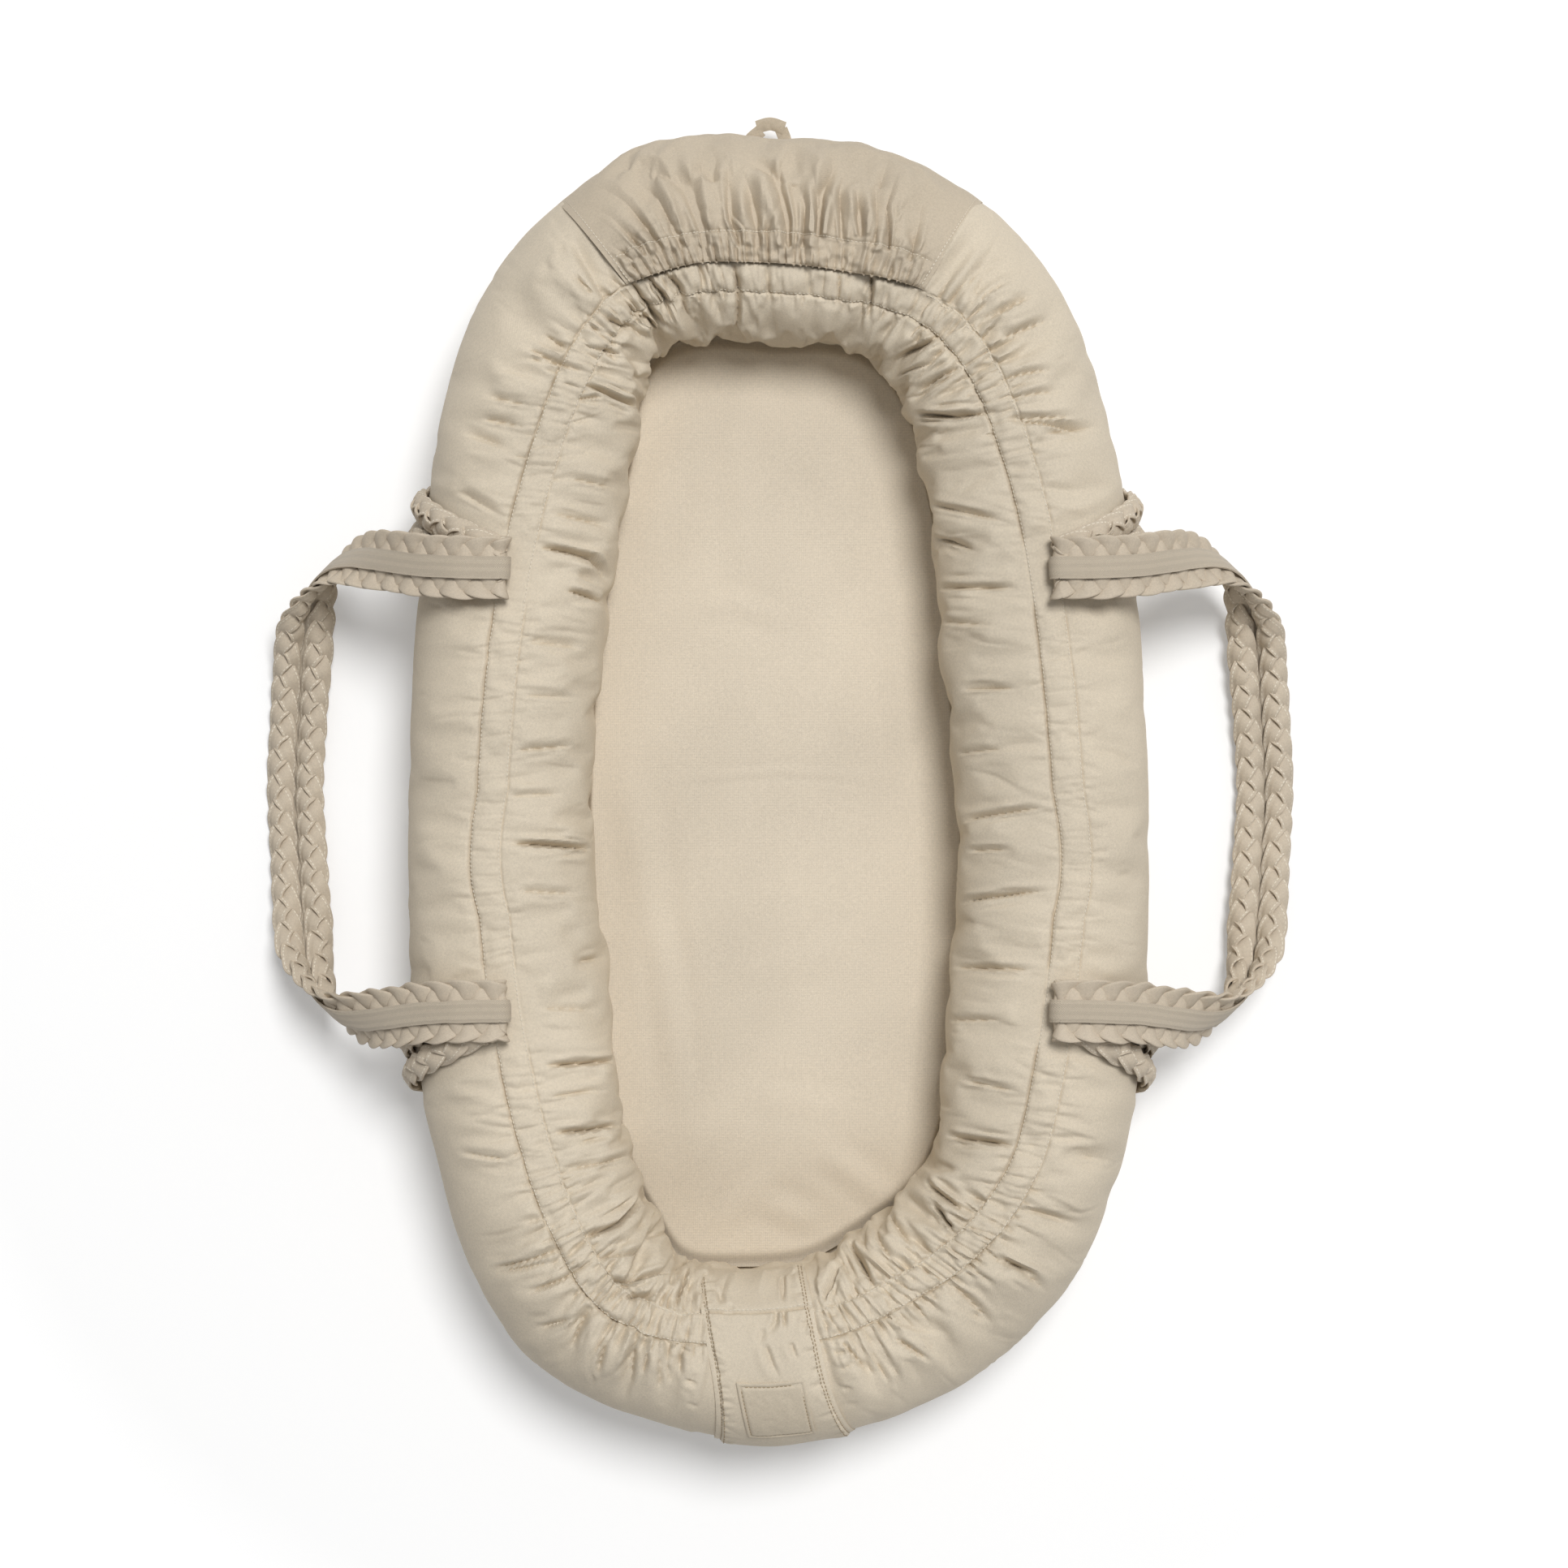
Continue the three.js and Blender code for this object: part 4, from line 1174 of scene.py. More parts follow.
def settle(cloth):
    """Holds the cloth down at the floor and under what lies on it, and returns how free it is there."""
    station = column_stations[:, None]
    outline = 1 - 0.7 * ramp(-cloth.over, 30, 62)
    cloth.field *= outline
    cloth.field *= ramp(cloth.base[..., 2], SEAT + 2, SEAT + 26)
    turned = (station + STATIONS / 2) % STATIONS - STATIONS / 2
    pocket = ramp(turned, POCKET_LEFT + 0.03, POCKET_LEFT + 0.13)
    pocket = pocket * ramp(-turned, 0.03 - POCKET_RIGHT, 0.13 - POCKET_RIGHT)
    pocket = pocket * ramp(-cloth.over, 0.8, 2.4)
    half = BAND_INSIDE / 2 + (BAND_OUTSIDE - BAND_INSIDE) / 2 * ramp(-cloth.over, 5, 75)
    band = ramp(half - np.abs(cloth.base[..., 0] - BAND_MIDDLE), -1, 4)
    band = band * (cloth.base[..., 1] < 0) * ramp(CASING + 75 - cloth.over, 0, 12)
    covered = np.maximum(pocket, 0.9 * band)
    cloth.field = cloth.field * (1 - 0.85 * covered) - covered - POCKET_HOLLOW * pocket
    for side in (-1, 1):
        for end in (-1, 1):
            run = anchor_run(side, end)[0][::8] * (side, 1, 1)
            under = near_line(cloth.base, run, 24, 34)
            cloth.field = cloth.field * (1 - 0.75 * under) - 1.2 * under
            covered = np.maximum(covered, under)
    cloth.field = np.clip(cloth.field, COVER_LOWEST, COVER_HIGHEST)
    return (1 - 0.8 * covered) * outline


def lay_companions(cloth, line, depth, random):
    """Two finer wrinkles beside a crease."""
    way = line[-1] - line[0]
    across = np.array([way[1], -way[0]]) / np.hypot(*way)
    for side in (-1, 1):
        away = across * side * random.uniform(3.5, 9.0)
        low = random.uniform(0.0, 0.4)
        high = low + random.uniform(0.4, 0.6)
        part = [line[0] + way * low + away, line[0] + way * high + away * random.uniform(0.6, 1.3)]
        deep = depth * random.uniform(0.15, 0.35)
        wide = random.uniform(1.2, 2.0)
        cloth.crease(part, deep, wide, fade=(0.45, 0.45), skew=random.uniform(-0.6, 0.6), sharp=1.1)


chance = np.random.default_rng(29)
for pixels, depth, width in PHOTO_CREASES:
    line = cover.plan_line(on_plan(pixels))
    lay_companions(cover, line, depth, chance)
    cover.crease(line, depth * 0.95, width * 0.55, fade=(0.3, 0.4), skew=0.5, shoulder=0.4, sharp=1.0)
    cover.crease(line, depth * 0.4, width * 1.6, fade=(0.4, 0.45), skew=0.3, shoulder=0.5)
lay_gathers(cover, 11)
lay_wrinkles(cover, 13)
cover.field += undulation(cover, gather_at(column_stations)[:, None]) + seam_dips(cover)
free = settle(cover)
cover.field -= loop_dent(cover)


# The covers' own folds, found by simulation on a coarser grid

SIM_COLUMNS = 560
SIM_WALL_ROWS = 26
SIM_CASING_ROWS = 6
SIM_LINING_ROWS = 22
SIM_FRAMES = 15
SURPLUS_SHARES = (0.012, 0.09)
COVER_PRESSURE = 4.0
COVER_BENDING = 12.0
COVER_REACH = 5.0
BULGE_COLUMNS = 20


def cover_folds():
    """How far the simulated covers move, on the fine grid."""
    coarse_rows = [even(count) for count in (SIM_WALL_ROWS, SIM_CASING_ROWS, SIM_LINING_ROWS)]
    station, coarse = cover_grid(SIM_COLUMNS, *coarse_rows)
    seam = SIM_WALL_ROWS - 1
    held = np.zeros(coarse.over.shape)
    held[:, [0, seam, seam + SIM_CASING_ROWS - 1, -1]] = 1
    least, most = SURPLUS_SHARES
    waves = waves_over(coarse, SURPLUS_WAVES)
    surplus = least + (most - least) * gather_at(station)[:, None] * (0.7 + 0.6 * ramp(waves, -1, 1))
    start = coarse.base + coarse.normals * (0.5 * waves * (1 - held))[..., None]
    moved = relaxed(start, held, surplus, True, COVER_PRESSURE, COVER_BENDING, SIM_FRAMES)
    moved = capped(without_bulge(moved + start - coarse.base, BULGE_COLUMNS, True), COVER_REACH)
    columns = np.arange(COLUMNS) * SIM_COLUMNS / COLUMNS
    wall, casing, drop = FINE_ROWS
    rows = np.concatenate([
        seam * wall,
        seam + (SIM_CASING_ROWS - 1) * casing[1:],
        seam + SIM_CASING_ROWS - 1 + (SIM_LINING_ROWS - 1) * drop[1:],
    ])
    return enlarged(moved, columns, rows, True)


lively = 0.55 + 0.45 * gather_at(column_stations)[:, None]
cover_moved = cover_folds() * (free * lively)[..., None]
cover_shape = cover.shape() + cover_moved
HEART = 0.5
HEART_TOP = CREST - 22.0
HEART_FOOT = SEAT + 3.0


def cover_piece(name, rows, replaced):
    """One cover as a closed half of the stuffed roll: its cloth, then a hidden face inside the roll."""
    outer, inward, width = section_at(column_stations)
    heart = outer + inward * (width * HEART)[:, None]
    inside = [np.column_stack([heart, np.full(COLUMNS, height)]) for height in (HEART_TOP, HEART_FOOT)]
    if rows.start:
        inside.reverse()
    part = np.concatenate([cover_shape[:, rows], np.stack(inside, axis=1)], axis=1)
    places = np.pad(cover.places()[:, rows], ((0, 0), (0, len(inside)), (0, 0)), mode="edge")
    piece = mesh_object(name, part, grid_faces(COLUMNS, part.shape[1], True, True), sateen, places)
    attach(piece, "nest")
    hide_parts(*replaced)


cover_piece("outer_wall_cloth", slice(0, WALL_ROWS), ["outer_cover", "bumper_filling"])
cover_piece(
    "casing_and_inner_wall_cloth",
    slice(WALL_ROWS - 1, None),
    ["inner_cover", "casing_backing", "casing_elastic"],
)


# Stitches

STITCH_LENGTH = 2.1
STITCH_RADIUS = 0.4


def stitch_loops(line, normals):
    """One short rounded stitch after another along a line of points."""
    along = lengths_along(line)
    starts = np.arange(STITCH_PITCH / 2, along[-1] - STITCH_PITCH / 2, STITCH_PITCH)
    shares = np.array([-0.5, -0.38, 0, 0.38, 0.5])
    bulge = np.array([0.25, 0.8, 1.0, 0.8, 0.25])
    around = np.linspace(0, 2 * np.pi, 6, endpoint=False)
    parts = []
    for start in starts:
        places = start + shares * STITCH_LENGTH
        middle = np.stack([np.interp(places, along, axis) for axis in line.T], axis=1)
        up = unit(np.array([np.interp(start, along, axis) for axis in normals.T]))
        way = unit(middle[-1] - middle[0])
        side = np.cross(way, up)
        rise = STITCH_RADIUS * 0.55 * bulge
        ring = side * np.cos(around)[:, None] + up * np.sin(around)[:, None] * 0.8
        middle = middle[:, None] + up * rise[:, None, None]
        parts.append(middle + ring[None] * (STITCH_RADIUS * bulge)[:, None, None])
    return parts


def line_on(cloth, shape, over):
    """The line of a cloth's shape at a distance across, and its normals."""
    over = np.broadcast_to(over, cloth.along.shape)
    line, normals = [], []
    facing = grid_normals(shape, cloth.closed)
    if (facing * cloth.normals).sum() < 0:
        facing = -facing
    for column, target in enumerate(over):
        rows = cloth.over[column]
        row = np.clip(np.searchsorted(rows, target), 1, len(rows) - 1)
        share = (target - rows[row - 1]) / (rows[row] - rows[row - 1])
        line.append(shape[column, row - 1] * (1 - share) + shape[column, row] * share)
        normals.append(facing[column, row])
    return np.array(line), np.array(normals)


def stitches(name, lines, yarn=thread):
    parts = [loops for line, normals in lines for loops in stitch_loops(line, normals)]
    piece = body_object(name, parts, yarn)
    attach(piece, "nest")


pocket_columns = (column_stations > STATIONS + POCKET_LEFT - 0.05) | (column_stations < POCKET_RIGHT + 0.05)
open_columns = np.flatnonzero(~pocket_columns)
outer_line = line_on(cover, cover_shape, 1.3 + seam_waver(0.0))
stitches("casing_stitches_outer", [tuple(part[open_columns] for part in outer_line)])
stitches("casing_stitches_inner", [line_on(cover, cover_shape, CASING - 1.2 + seam_waver(CASING))])


# Thin cloth pieces with two faces


def slab_object(name, top, thickness, material, places):
    """A thin closed piece of cloth from the grid of its outer face and the places on it."""
    columns, rows = top.shape[:2]
    below = top - grid_normals(top, False) * thickness
    points = np.concatenate([top.reshape(-1, 3), below.reshape(-1, 3)])
    count = columns * rows
    index = np.arange(count).reshape(columns, rows)
    faces = grid_faces(columns, rows)
    rim = np.concatenate([index[:, 0], index[-1, 1:], index[-2::-1, -1], index[0, -2:0:-1]])
    following = np.roll(rim, -1)
    sides = np.stack([rim, following, following + count, rim + count], axis=1)
    faces = np.concatenate([faces, faces[:, ::-1] + count, sides])
    return mesh_object(name, points, faces, material, np.concatenate([places, places], axis=0))


# Pocket over the head end

POCKET_COLUMNS = 560
POCKET_SHARES = crowded(160, last=0.6)
POCKET_HEM = 19.5
POCKET_FOOT = -60.0
POCKET_LOWEST = -3.9
POCKET_HIGHEST = 7.0
POCKET_PRESSURE = 3.0
POCKET_BENDING = 6.0
POCKET_REACH = 5.0
POCKET_BULGE_COLUMNS = 30

# Long folds of the pocket: pixels of the photograph, depth and width
POCKET_FOLDS = [
    ([(972, 314), (971, 277), (956, 218), (930, 190), (918, 176)], 9.0, 3.0),
    ([(912, 312), (900, 277), (897, 214), (902, 186)], 6.4, 2.6),
    ([(1006, 300), (1014, 240), (1026, 214), (1024, 178)], 9.0, 3.2),
    ([(1008, 300), (1006, 250), (996, 205)], 6.0, 2.4),
    ([(1036, 305), (1034, 240), (1046, 200)], 5.0, 2.4),
    ([(1060, 300), (1058, 256), (1048, 216)], 6.0, 2.4),
    ([(872, 312), (852, 246), (814, 196)], 6.0, 2.8),
    ([(842, 314), (812, 250), (770, 214)], 5.4, 3.0),
    ([(818, 318), (774, 256), (718, 226)], 6.6, 3.2),
    ([(798, 324), (756, 274), (708, 250)], 5.0, 3.2),
    ([(784, 330), (742, 300), (718, 288)], 3.6, 3.2),
    ([(936, 312), (926, 244), (908, 200)], 5.0, 2.6),
    ([(988, 312), (992, 262), (982, 220)], 5.0, 2.4),
    ([(1094, 318), (1092, 260), (1108, 206)], 6.0, 3.0),
    ([(1120, 330), (1136, 252), (1152, 226)], 5.0, 3.2),
    ([(1146, 344), (1172, 282), (1190, 258)], 4.6, 3.2),
    ([(1076, 316), (1080, 236), (1072, 196)], 5.0, 3.0),
    ([(880, 230), (862, 178)], 3.6, 5.0),
    ([(960, 230), (968, 184)], 3.4, 4.0),
    ([(1084, 236), (1098, 184)], 3.4, 5.0),
]


def pocket_grid(columns, rows):
    ends = np.linspace(POCKET_LEFT, POCKET_RIGHT, 900)
    hem = lengths_along(ring_point(ends, seam_angle(ends)))
    along = np.linspace(0, hem[-1], columns)
    station = np.interp(along, hem, ends)
    foot = np.full(columns, POCKET_FOOT)
    angles, over = rows_between(foot, seam_angle(station, -0.3), rows, station)
    over = over - over[:, -1:]
    edge = np.minimum(along, along[-1] - along)[:, None]
    reach = 9 + 80 * ramp(-over, 10, 55)
    lift = 0.6 + (POCKET_LIFT - 0.6) * ramp(edge / reach, 0, 1)
    lift = lift * (0.35 + 0.65 * ramp(over, over.min(), over.min() + 45))
    return edge, ClothGrid(ring_point(station[:, None], angles, lift), along, over)


def lay_pocket(cloth, seed):
    random = np.random.default_rng(seed)
    for pixels, depth, width in POCKET_FOLDS:
        line = cloth.plan_line(on_plan(pixels))
        skew = random.uniform(-0.6, 0.6)
        form = {"fade": (0.05, 0.8), "shoulder": 0.6, "sharp": 1.0, "grow": 1.8}
        cloth.crease(line, depth, width * 0.6, skew=skew, **form)
    place = 2.0
    while place < cloth.along[-1]:
        reach = POCKET_HEM + min(random.gamma(1.1, 9.0), 60)
        lean = random.normal(0, 0.2) * reach
        line = [(place, 0.0), (place + random.normal(0, 1.5), -POCKET_HEM), (place + lean, -reach)]
        skew = random.uniform(-0.6, 0.6)
        depth = random.uniform(1.2, 3.6)
        width = random.uniform(0.7, 1.2)
        cloth.crease(line, depth, width, fade=(0.0, 0.75), skew=skew, sharp=1.05, grow=1.5)
        place += random.uniform(2.6, 7.0)
    share = cloth.along[:, None] / cloth.along[-1]
    waves = 2.2 * noise(share * 11, cloth.over / 80 + 30, 41)
    waves += 0.8 * noise(share * 30, cloth.over / 40 + 30, 42)
    cloth.field += waves - 1.3 * bell((cloth.over + POCKET_HEM) / 0.9)


POCKET_SIM_COLUMNS = 170
POCKET_SIM_ROWS = 58
POCKET_SIM_FRAMES = 18


def pocket_folds():
    """How far the simulated pocket moves, on its fine grid."""
    edge, coarse = pocket_grid(POCKET_SIM_COLUMNS, even(POCKET_SIM_ROWS))
    held = np.zeros(coarse.over.shape)
    held[[0, -1]] = 1
    held[:, [0, -1]] = 1
    held[:, np.argmin(np.abs(coarse.over[POCKET_SIM_COLUMNS // 2] + POCKET_HEM))] = 0.5
    surplus = 0.03 + 0.1 * ramp(coarse.over, -130, -10)
    waves = noise(coarse.along[:, None] / 9 + 20, coarse.over / 50 + 40, 45)
    start = coarse.base + coarse.normals * (0.7 * waves * (1 - held))[..., None]
    moved = relaxed(start, held, surplus, False, POCKET_PRESSURE, POCKET_BENDING, POCKET_SIM_FRAMES)
    moved = moved + start - coarse.base
    moved = capped(without_bulge(moved, POCKET_BULGE_COLUMNS, False), POCKET_REACH)
    columns = np.linspace(0, POCKET_SIM_COLUMNS - 1, POCKET_COLUMNS)
    return enlarged(moved, columns, (POCKET_SIM_ROWS - 1) * POCKET_SHARES, False)


pocket_edge, pocket = pocket_grid(POCKET_COLUMNS, POCKET_SHARES)
lay_pocket(pocket, 17)
pocket_moved = pocket_folds()
pocket.field += (pocket_moved * pocket.normals).sum(-1)
calm = ramp(pocket_edge / (8 + 42 * ramp(-pocket.over, 10, 55)), 0, 1)
pocket.field *= calm * ramp(pocket.over, pocket.over.min(), pocket.over.min() + 30)
pocket.field = np.clip(pocket.field, POCKET_LOWEST, POCKET_HIGHEST)
pocket.field -= 1.4 * bell(pocket.over / 1.1) + loop_dent(pocket)
pocket_shape = pocket.shape()
# The pocket gets the cloth whose darker tone is painted shade
pocket_piece = slab_object("head_pocket_cloth", pocket_shape, 1.2, pocket_sateen, pocket.places())
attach(pocket_piece, "nest")
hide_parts("head_pocket", "pocket_elastic")
hem_line, hem_normals = line_on(pocket, pocket_shape, -POCKET_HEM)
inner_columns = slice(12, -12)
side_lines = [
    (pocket_shape[column, 40:], np.broadcast_to((0.0, 0.0, 1.0), pocket_shape[column, 40:].shape))
    for column in (8, POCKET_COLUMNS - 9)
]
stitches("pocket_stitches", [(hem_line[inner_columns], hem_normals[inner_columns]), *side_lines])


# Band and patch over the foot end

BAND_COLUMNS = 110
BAND_ROWS = 210
BAND_FOOT = -58.0
BAND_TOP = 178.0
BAND_SEAM = CASING - 1.0

# Folds of the band: plan points, depth and width
BAND_FOLDS = [
    ([(3, -348), (4, -362)], 4.0, 1.6),
    ([(-1, -348), (-2, -356), (-9, -366)], 3.0, 2.0),
    ([(-9, -369), (-4, -384), (2, -395)], 2.4, 2.6),
    ([(8, -368), (13, -382)], 2.0, 2.2),
    ([(-45, -372), (-38, -400)], 1.6, 3.0),
    ([(-30, -345), (-40, -352)], 1.6, 3.0),
    ([(24, -375), (30, -410)], 1.4, 4.0),
    ([(-44, -335), (-30, -352)], 1.6, 2.4),
    ([(2.5, -329), (3.2, -347)], 3.6, 1.5),
    ([(16.7, -318), (29, -347)], 2.6, 2.2),
    ([(-40, -347), (-33, -328)], 2.0, 2.2),
    ([(-8, -322), (-14, -345)], -2.0, 7.0),
    ([(9, -322), (16, -346)], -2.2, 4.5),
    ([(-28, -318), (-30, -346)], -1.6, 6.0),
    ([(-9, -360), (-14, -372)], 2.0, 2.6),
    ([(20, -352), (16, -366)], 1.6, 2.0),
]


def across_distance(station, angle):
    """Millimetres per degree across, and per station along, at a place of the ring."""
    degree = ring_point(station, angle + 0.5) - ring_point(station, angle - 0.5)
    step = 0.02
    way = ring_point(station + step, angle) - ring_point(station - step, angle)
    return np.linalg.norm(degree, axis=-1), np.linalg.norm(way, axis=-1) / (2 * step)


def band_grid():
    station = np.array([BAND_STATION])
    low, middle, high = np.array([BAND_FOOT]), seam_angle(station), np.array([BAND_TOP])
    count = int(BAND_ROWS * 0.62)
    wall, wall_over = rows_between(low, middle, crowded(count, last=0.6), station)
    drop, drop_over = rows_between(middle, high, even(BAND_ROWS - count + 1), station)
    angle = np.hstack([wall, drop[:, 1:]])[0]
    over = np.hstack([wall_over - wall_over[:, -1:], drop_over[:, 1:]])[0]
    width = BAND_OUTSIDE + (BAND_INSIDE - BAND_OUTSIDE) * ramp(angle, 0, 90)
    share = np.linspace(-0.5, 0.5, BAND_COLUMNS)[:, None]
    _, per_station = across_distance(BAND_STATION, angle)
    stations = BAND_STATION + share * width / per_station
    edge = (0.5 - np.abs(share)) * width
    lower = 1 - 0.7 * ramp(over, BAND_SEAM + 2, BAND_SEAM + 16)
    lift = 0.8 + (BAND_LIFT - 0.8) * ramp(edge, 0, 6) * lower
    base = ring_point(stations, angle, lift)
    along = (share[:, 0] + 0.5) * BAND_INSIDE
    return edge, ClothGrid(base, along, np.broadcast_to(over, edge.shape).copy())


def lay_band(cloth, edge, seed):
    random = np.random.default_rng(seed)
    for plan, depth, width in BAND_FOLDS:
        skew = random.uniform(-0.5, 0.5)
        cloth.crease(cloth.plan_line(plan), depth, width * 0.8, fade=(0.2, 0.6), skew=skew, sharp=1.05)
    for side_place in (3.5, BAND_INSIDE - 3.5):
        place = cloth.over.min() + 30
        while place < cloth.over.max() - 4:
            inward = random.uniform(5, 14) * (1 if side_place < 10 else -1)
            line = [(side_place, place), (side_place + inward, place + random.normal(0, 5))]
            cloth.crease(line, random.uniform(0.5, 1.3), random.uniform(1.2, 2.2), fade=(0.0, 0.8))
            place += random.uniform(4, 10)
    cloth.field += 0.7 * noise(cloth.along[:, None] / 22 + 12, cloth.over / 34 + 30, 51)
    cloth.field -= 2.2 * bell(cloth.over - BAND_SEAM)
    cloth.field -= 1.3 * bell(edge - 3.2)
    cloth.field *= ramp(edge, 0, 3)
    cloth.field = np.clip(cloth.field, -2.2, 4.0)


band_edge, band = band_grid()
lay_band(band, band_edge, 23)
band_shape = band.shape()
band_piece = slab_object("foot_band_cloth", band_shape, 1.2, sateen, band.places())
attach(band_piece, "nest")
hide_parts("foot_band")
stitches("band_seam_stitches", [line_on(band, band_shape, BAND_SEAM + 1.8)])
band_rows = slice(20, -2)
band_lines = [
    (band_shape[column, band_rows], band.normals[column, band_rows])
    for column in (4, 7, BAND_COLUMNS - 5, BAND_COLUMNS - 8)
]
# Painted shade: dark thread in place of the shade in the stitch holes
stitches("band_stitches", band_lines, pit_shade_thread)

PATCH_SIZE = 45.0
PATCH_CREST_DISTANCE = 23.0
PATCH_LIFT = BAND_LIFT + 1.7
PATCH_STITCH = 2.4
PATCH_POINTS = 56


def patch_grid():
    middle = float(seam_angle(BAND_STATION))
    per_degree, _ = across_distance(BAND_STATION, middle)
    centre = middle - (PATCH_CREST_DISTANCE + PATCH_SIZE / 2) / per_degree
    steps = np.linspace(-PATCH_SIZE / 2, PATCH_SIZE / 2, PATCH_POINTS)
    per_degree, _ = across_distance(BAND_STATION, centre)
    angle = centre + steps / per_degree
    _, per_station = across_distance(BAND_STATION, angle)
    station = BAND_STATION + steps[:, None] / per_station
    edge = PATCH_SIZE / 2 - np.maximum(np.abs(steps[:, None]), np.abs(steps))
    puckers = 0.25 * noise(steps[:, None] / 4 + 40, steps / 4 + 40, 61)
    puckers += 0.3 * noise(steps[:, None] / 14 + 40, steps / 14 + 60, 62)
    lift = PATCH_LIFT + puckers - 1.1 * bell((edge - PATCH_STITCH) / 0.8)
    lift = lift - 0.5 * (1 - ramp(edge, 0, 1))
    return steps, ring_point(station, angle, lift)


patch_steps, patch_shape = patch_grid()
patch_places = np.stack(np.meshgrid(patch_steps, patch_steps, indexing="ij"), axis=-1)
patch_piece = slab_object("patch_cloth", patch_shape, 1.6, patch_cloth, patch_places)
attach(patch_piece, "nest")
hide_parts("patch")
first = int(np.argmin(np.abs(patch_steps + PATCH_SIZE / 2 - PATCH_STITCH)))
last = len(patch_steps) - 1 - first
patch_up = grid_normals(patch_shape, False)
whole = slice(first, last + 1)
patch_rows = [(whole, first), (last, whole), (whole, last), (first, whole)]
patch_lines = [(patch_shape[rows], patch_up[rows]) for rows in patch_rows]
# Painted shade: dark thread in place of the shade in the stitch holes
stitches("patch_stitches", patch_lines, pit_shade_thread)


# Hang loop: a folded tape with two mitred corners

LOOP_TAPE = 9.0
LOOP_THICKNESS = 1.5
LOOP_STEPS = 24


def loop_part(points, seed, raised=0.0):
    """A flat stretch of the loop's folded tape between points of its middle line."""
    points = np.array(points, float)
    fine = open_curve(points, np.linspace(0, 1, LOOP_STEPS))
    up = unit(np.array([0, -0.34, 0.94]))
    way = unit(np.gradient(fine, axis=0))
    side = unit(np.cross(up, way))
    share = np.linspace(-1, 1, 9)
    rows = []
    for level, shares in ((1, share), (-1, share[::-1])):
        bulge = (LOOP_THICKNESS / 2) * (1 - 0.55 * shares**4) * level + raised
        crease = 0.25 * noise(np.arange(LOOP_STEPS)[:, None] / 4 + 9, shares[None] * 2 + 20, seed)
        out = fine[:, None] + side[:, None] * (shares * LOOP_TAPE / 2)[None, :, None]
        rows.append(out + up * (bulge[None] + crease)[..., None])
    return np.concatenate(rows, axis=1)


LOOP_PARTS = [
    loop_part([(-23.5, 439, 12.5), (-20.8, 455, 17.5), (-12.5, 462.5, 20.5)], 71),
    loop_part([(-15.5, 465, 20.0), (-6, 467, 21.5), (4.0, 464.0, 21)], 72, 1.1),
    loop_part([(1.5, 463.5, 21), (4.6, 455, 18), (5.4, 439, 12.5)], 73, 0.1),
]
# The loop gets the pocket's cloth, whose darker tone is painted shade
loop_piece = body_object("hang_loop_tape", LOOP_PARTS, pocket_sateen)
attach(loop_piece, "hang_loop")
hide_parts("hang_loop")


# Lying surface and underside

# Ridges of the lying cloth: pixels of the photograph, height and half width in millimetres
FLOOR_RIDGES = [
    ([(765, 900), (792, 1080), (806, 1300)], 2.6, 8),
    ([(800, 1090), (822, 1200), (838, 1400)], 2.2, 6),
    ([(780, 700), (830, 560), (880, 480)], 1.6, 8),
    ([(840, 760), (900, 740), (985, 770)], 1.4, 5),
    ([(765, 965), (960, 950), (1150, 962)], 0.8, 2.4),
    ([(905, 1352), (1000, 1362), (1090, 1372)], 1.0, 6),
    ([(1000, 1410), (1060, 1456), (1110, 1500)], 2.4, 6),
    ([(925, 1478), (985, 1506), (1020, 1512)], 2.2, 6),
    ([(900, 1210), (1010, 1180), (1080, 1130)], 1.0, 7),
    ([(1080, 640), (1120, 800), (1150, 1060)], 1.6, 9),
    ([(900, 480), (915, 620), (905, 760)], 1.2, 7),
    ([(830, 1480), (870, 1400), (930, 1330)], 1.8, 7),
    ([(870, 1530), (960, 1440)], 1.4, 6),
    ([(1010, 560), (1040, 640)], 1.0, 7),
]
LYING_COLUMNS = 420
LYING_ROWS = 170
TUCK_DEPTH = 6.0
FOOT_SLOPE = 13.0
TUCK_SHARE = 0.965
# The lying cloth lies lower than the roll, so the camera sees it a little smaller
FLOOR_SCALE = 1.035
UNDERSIDE_PROFILE = [
    (0.05, 0.0), (0.6, 0.0), (0.995, 0.0), (1.0, 0.8), (1.0, 2.2), (0.995, 3.0), (0.6, 3.0), (0.05, 3.0),
]


def ridge(x, y, line, height, half_width):
    """A soft ridge along a line of plan points, dying out at both ends."""
    nearest, _, share = nearest_on(line, x, y)
    sides = bell(nearest / half_width) - 0.5 * bell((nearest / half_width - 1.9) / 0.8)
    return height * ramp(share, 0, 0.35) * ramp(1 - share, 0, 0.35) * sides


def lying_loops():
    """The padded mattress in its cloth: loops from the middle of the underside to that of the top."""
    stations = np.linspace(0, STATIONS, LYING_COLUMNS, endpoint=False)
    edge = ring_point(stations, inner_angle(FLOOR_EDGE), -3.0)[:, :2]
    share = np.linspace(1, 0.01, LYING_ROWS)[:, None]
    x, y = edge[:, 0] * share, edge[:, 1] * share
    height = FLOOR_EDGE + FLOOR_CROWN * (1 - share**2) + np.zeros_like(x)
    height = height + 0.7 * noise(x / 50 + 60, y / 150 + 60, 21) + 0.25 * noise(x / 18 + 60, y / 60 + 60, 22)
    height = height - FOOT_SLOPE * ramp(-y, 230, 320)
    for pixels, deep, wide in FLOOR_RIDGES:
        height = height + ridge(x, y, on_plan(pixels) * FLOOR_SCALE, deep * 0.5, wide * 1.3)
    height = height - TUCK_DEPTH * ramp(share, TUCK_SHARE, 1)
    top = np.stack([x, y, height], axis=-1)
    foot = np.full(LYING_COLUMNS, SEAT + 0.4)
    below = [np.column_stack([edge * part, foot]) for part in (0.05, 0.5, 0.97)]
    return np.concatenate([below, top])


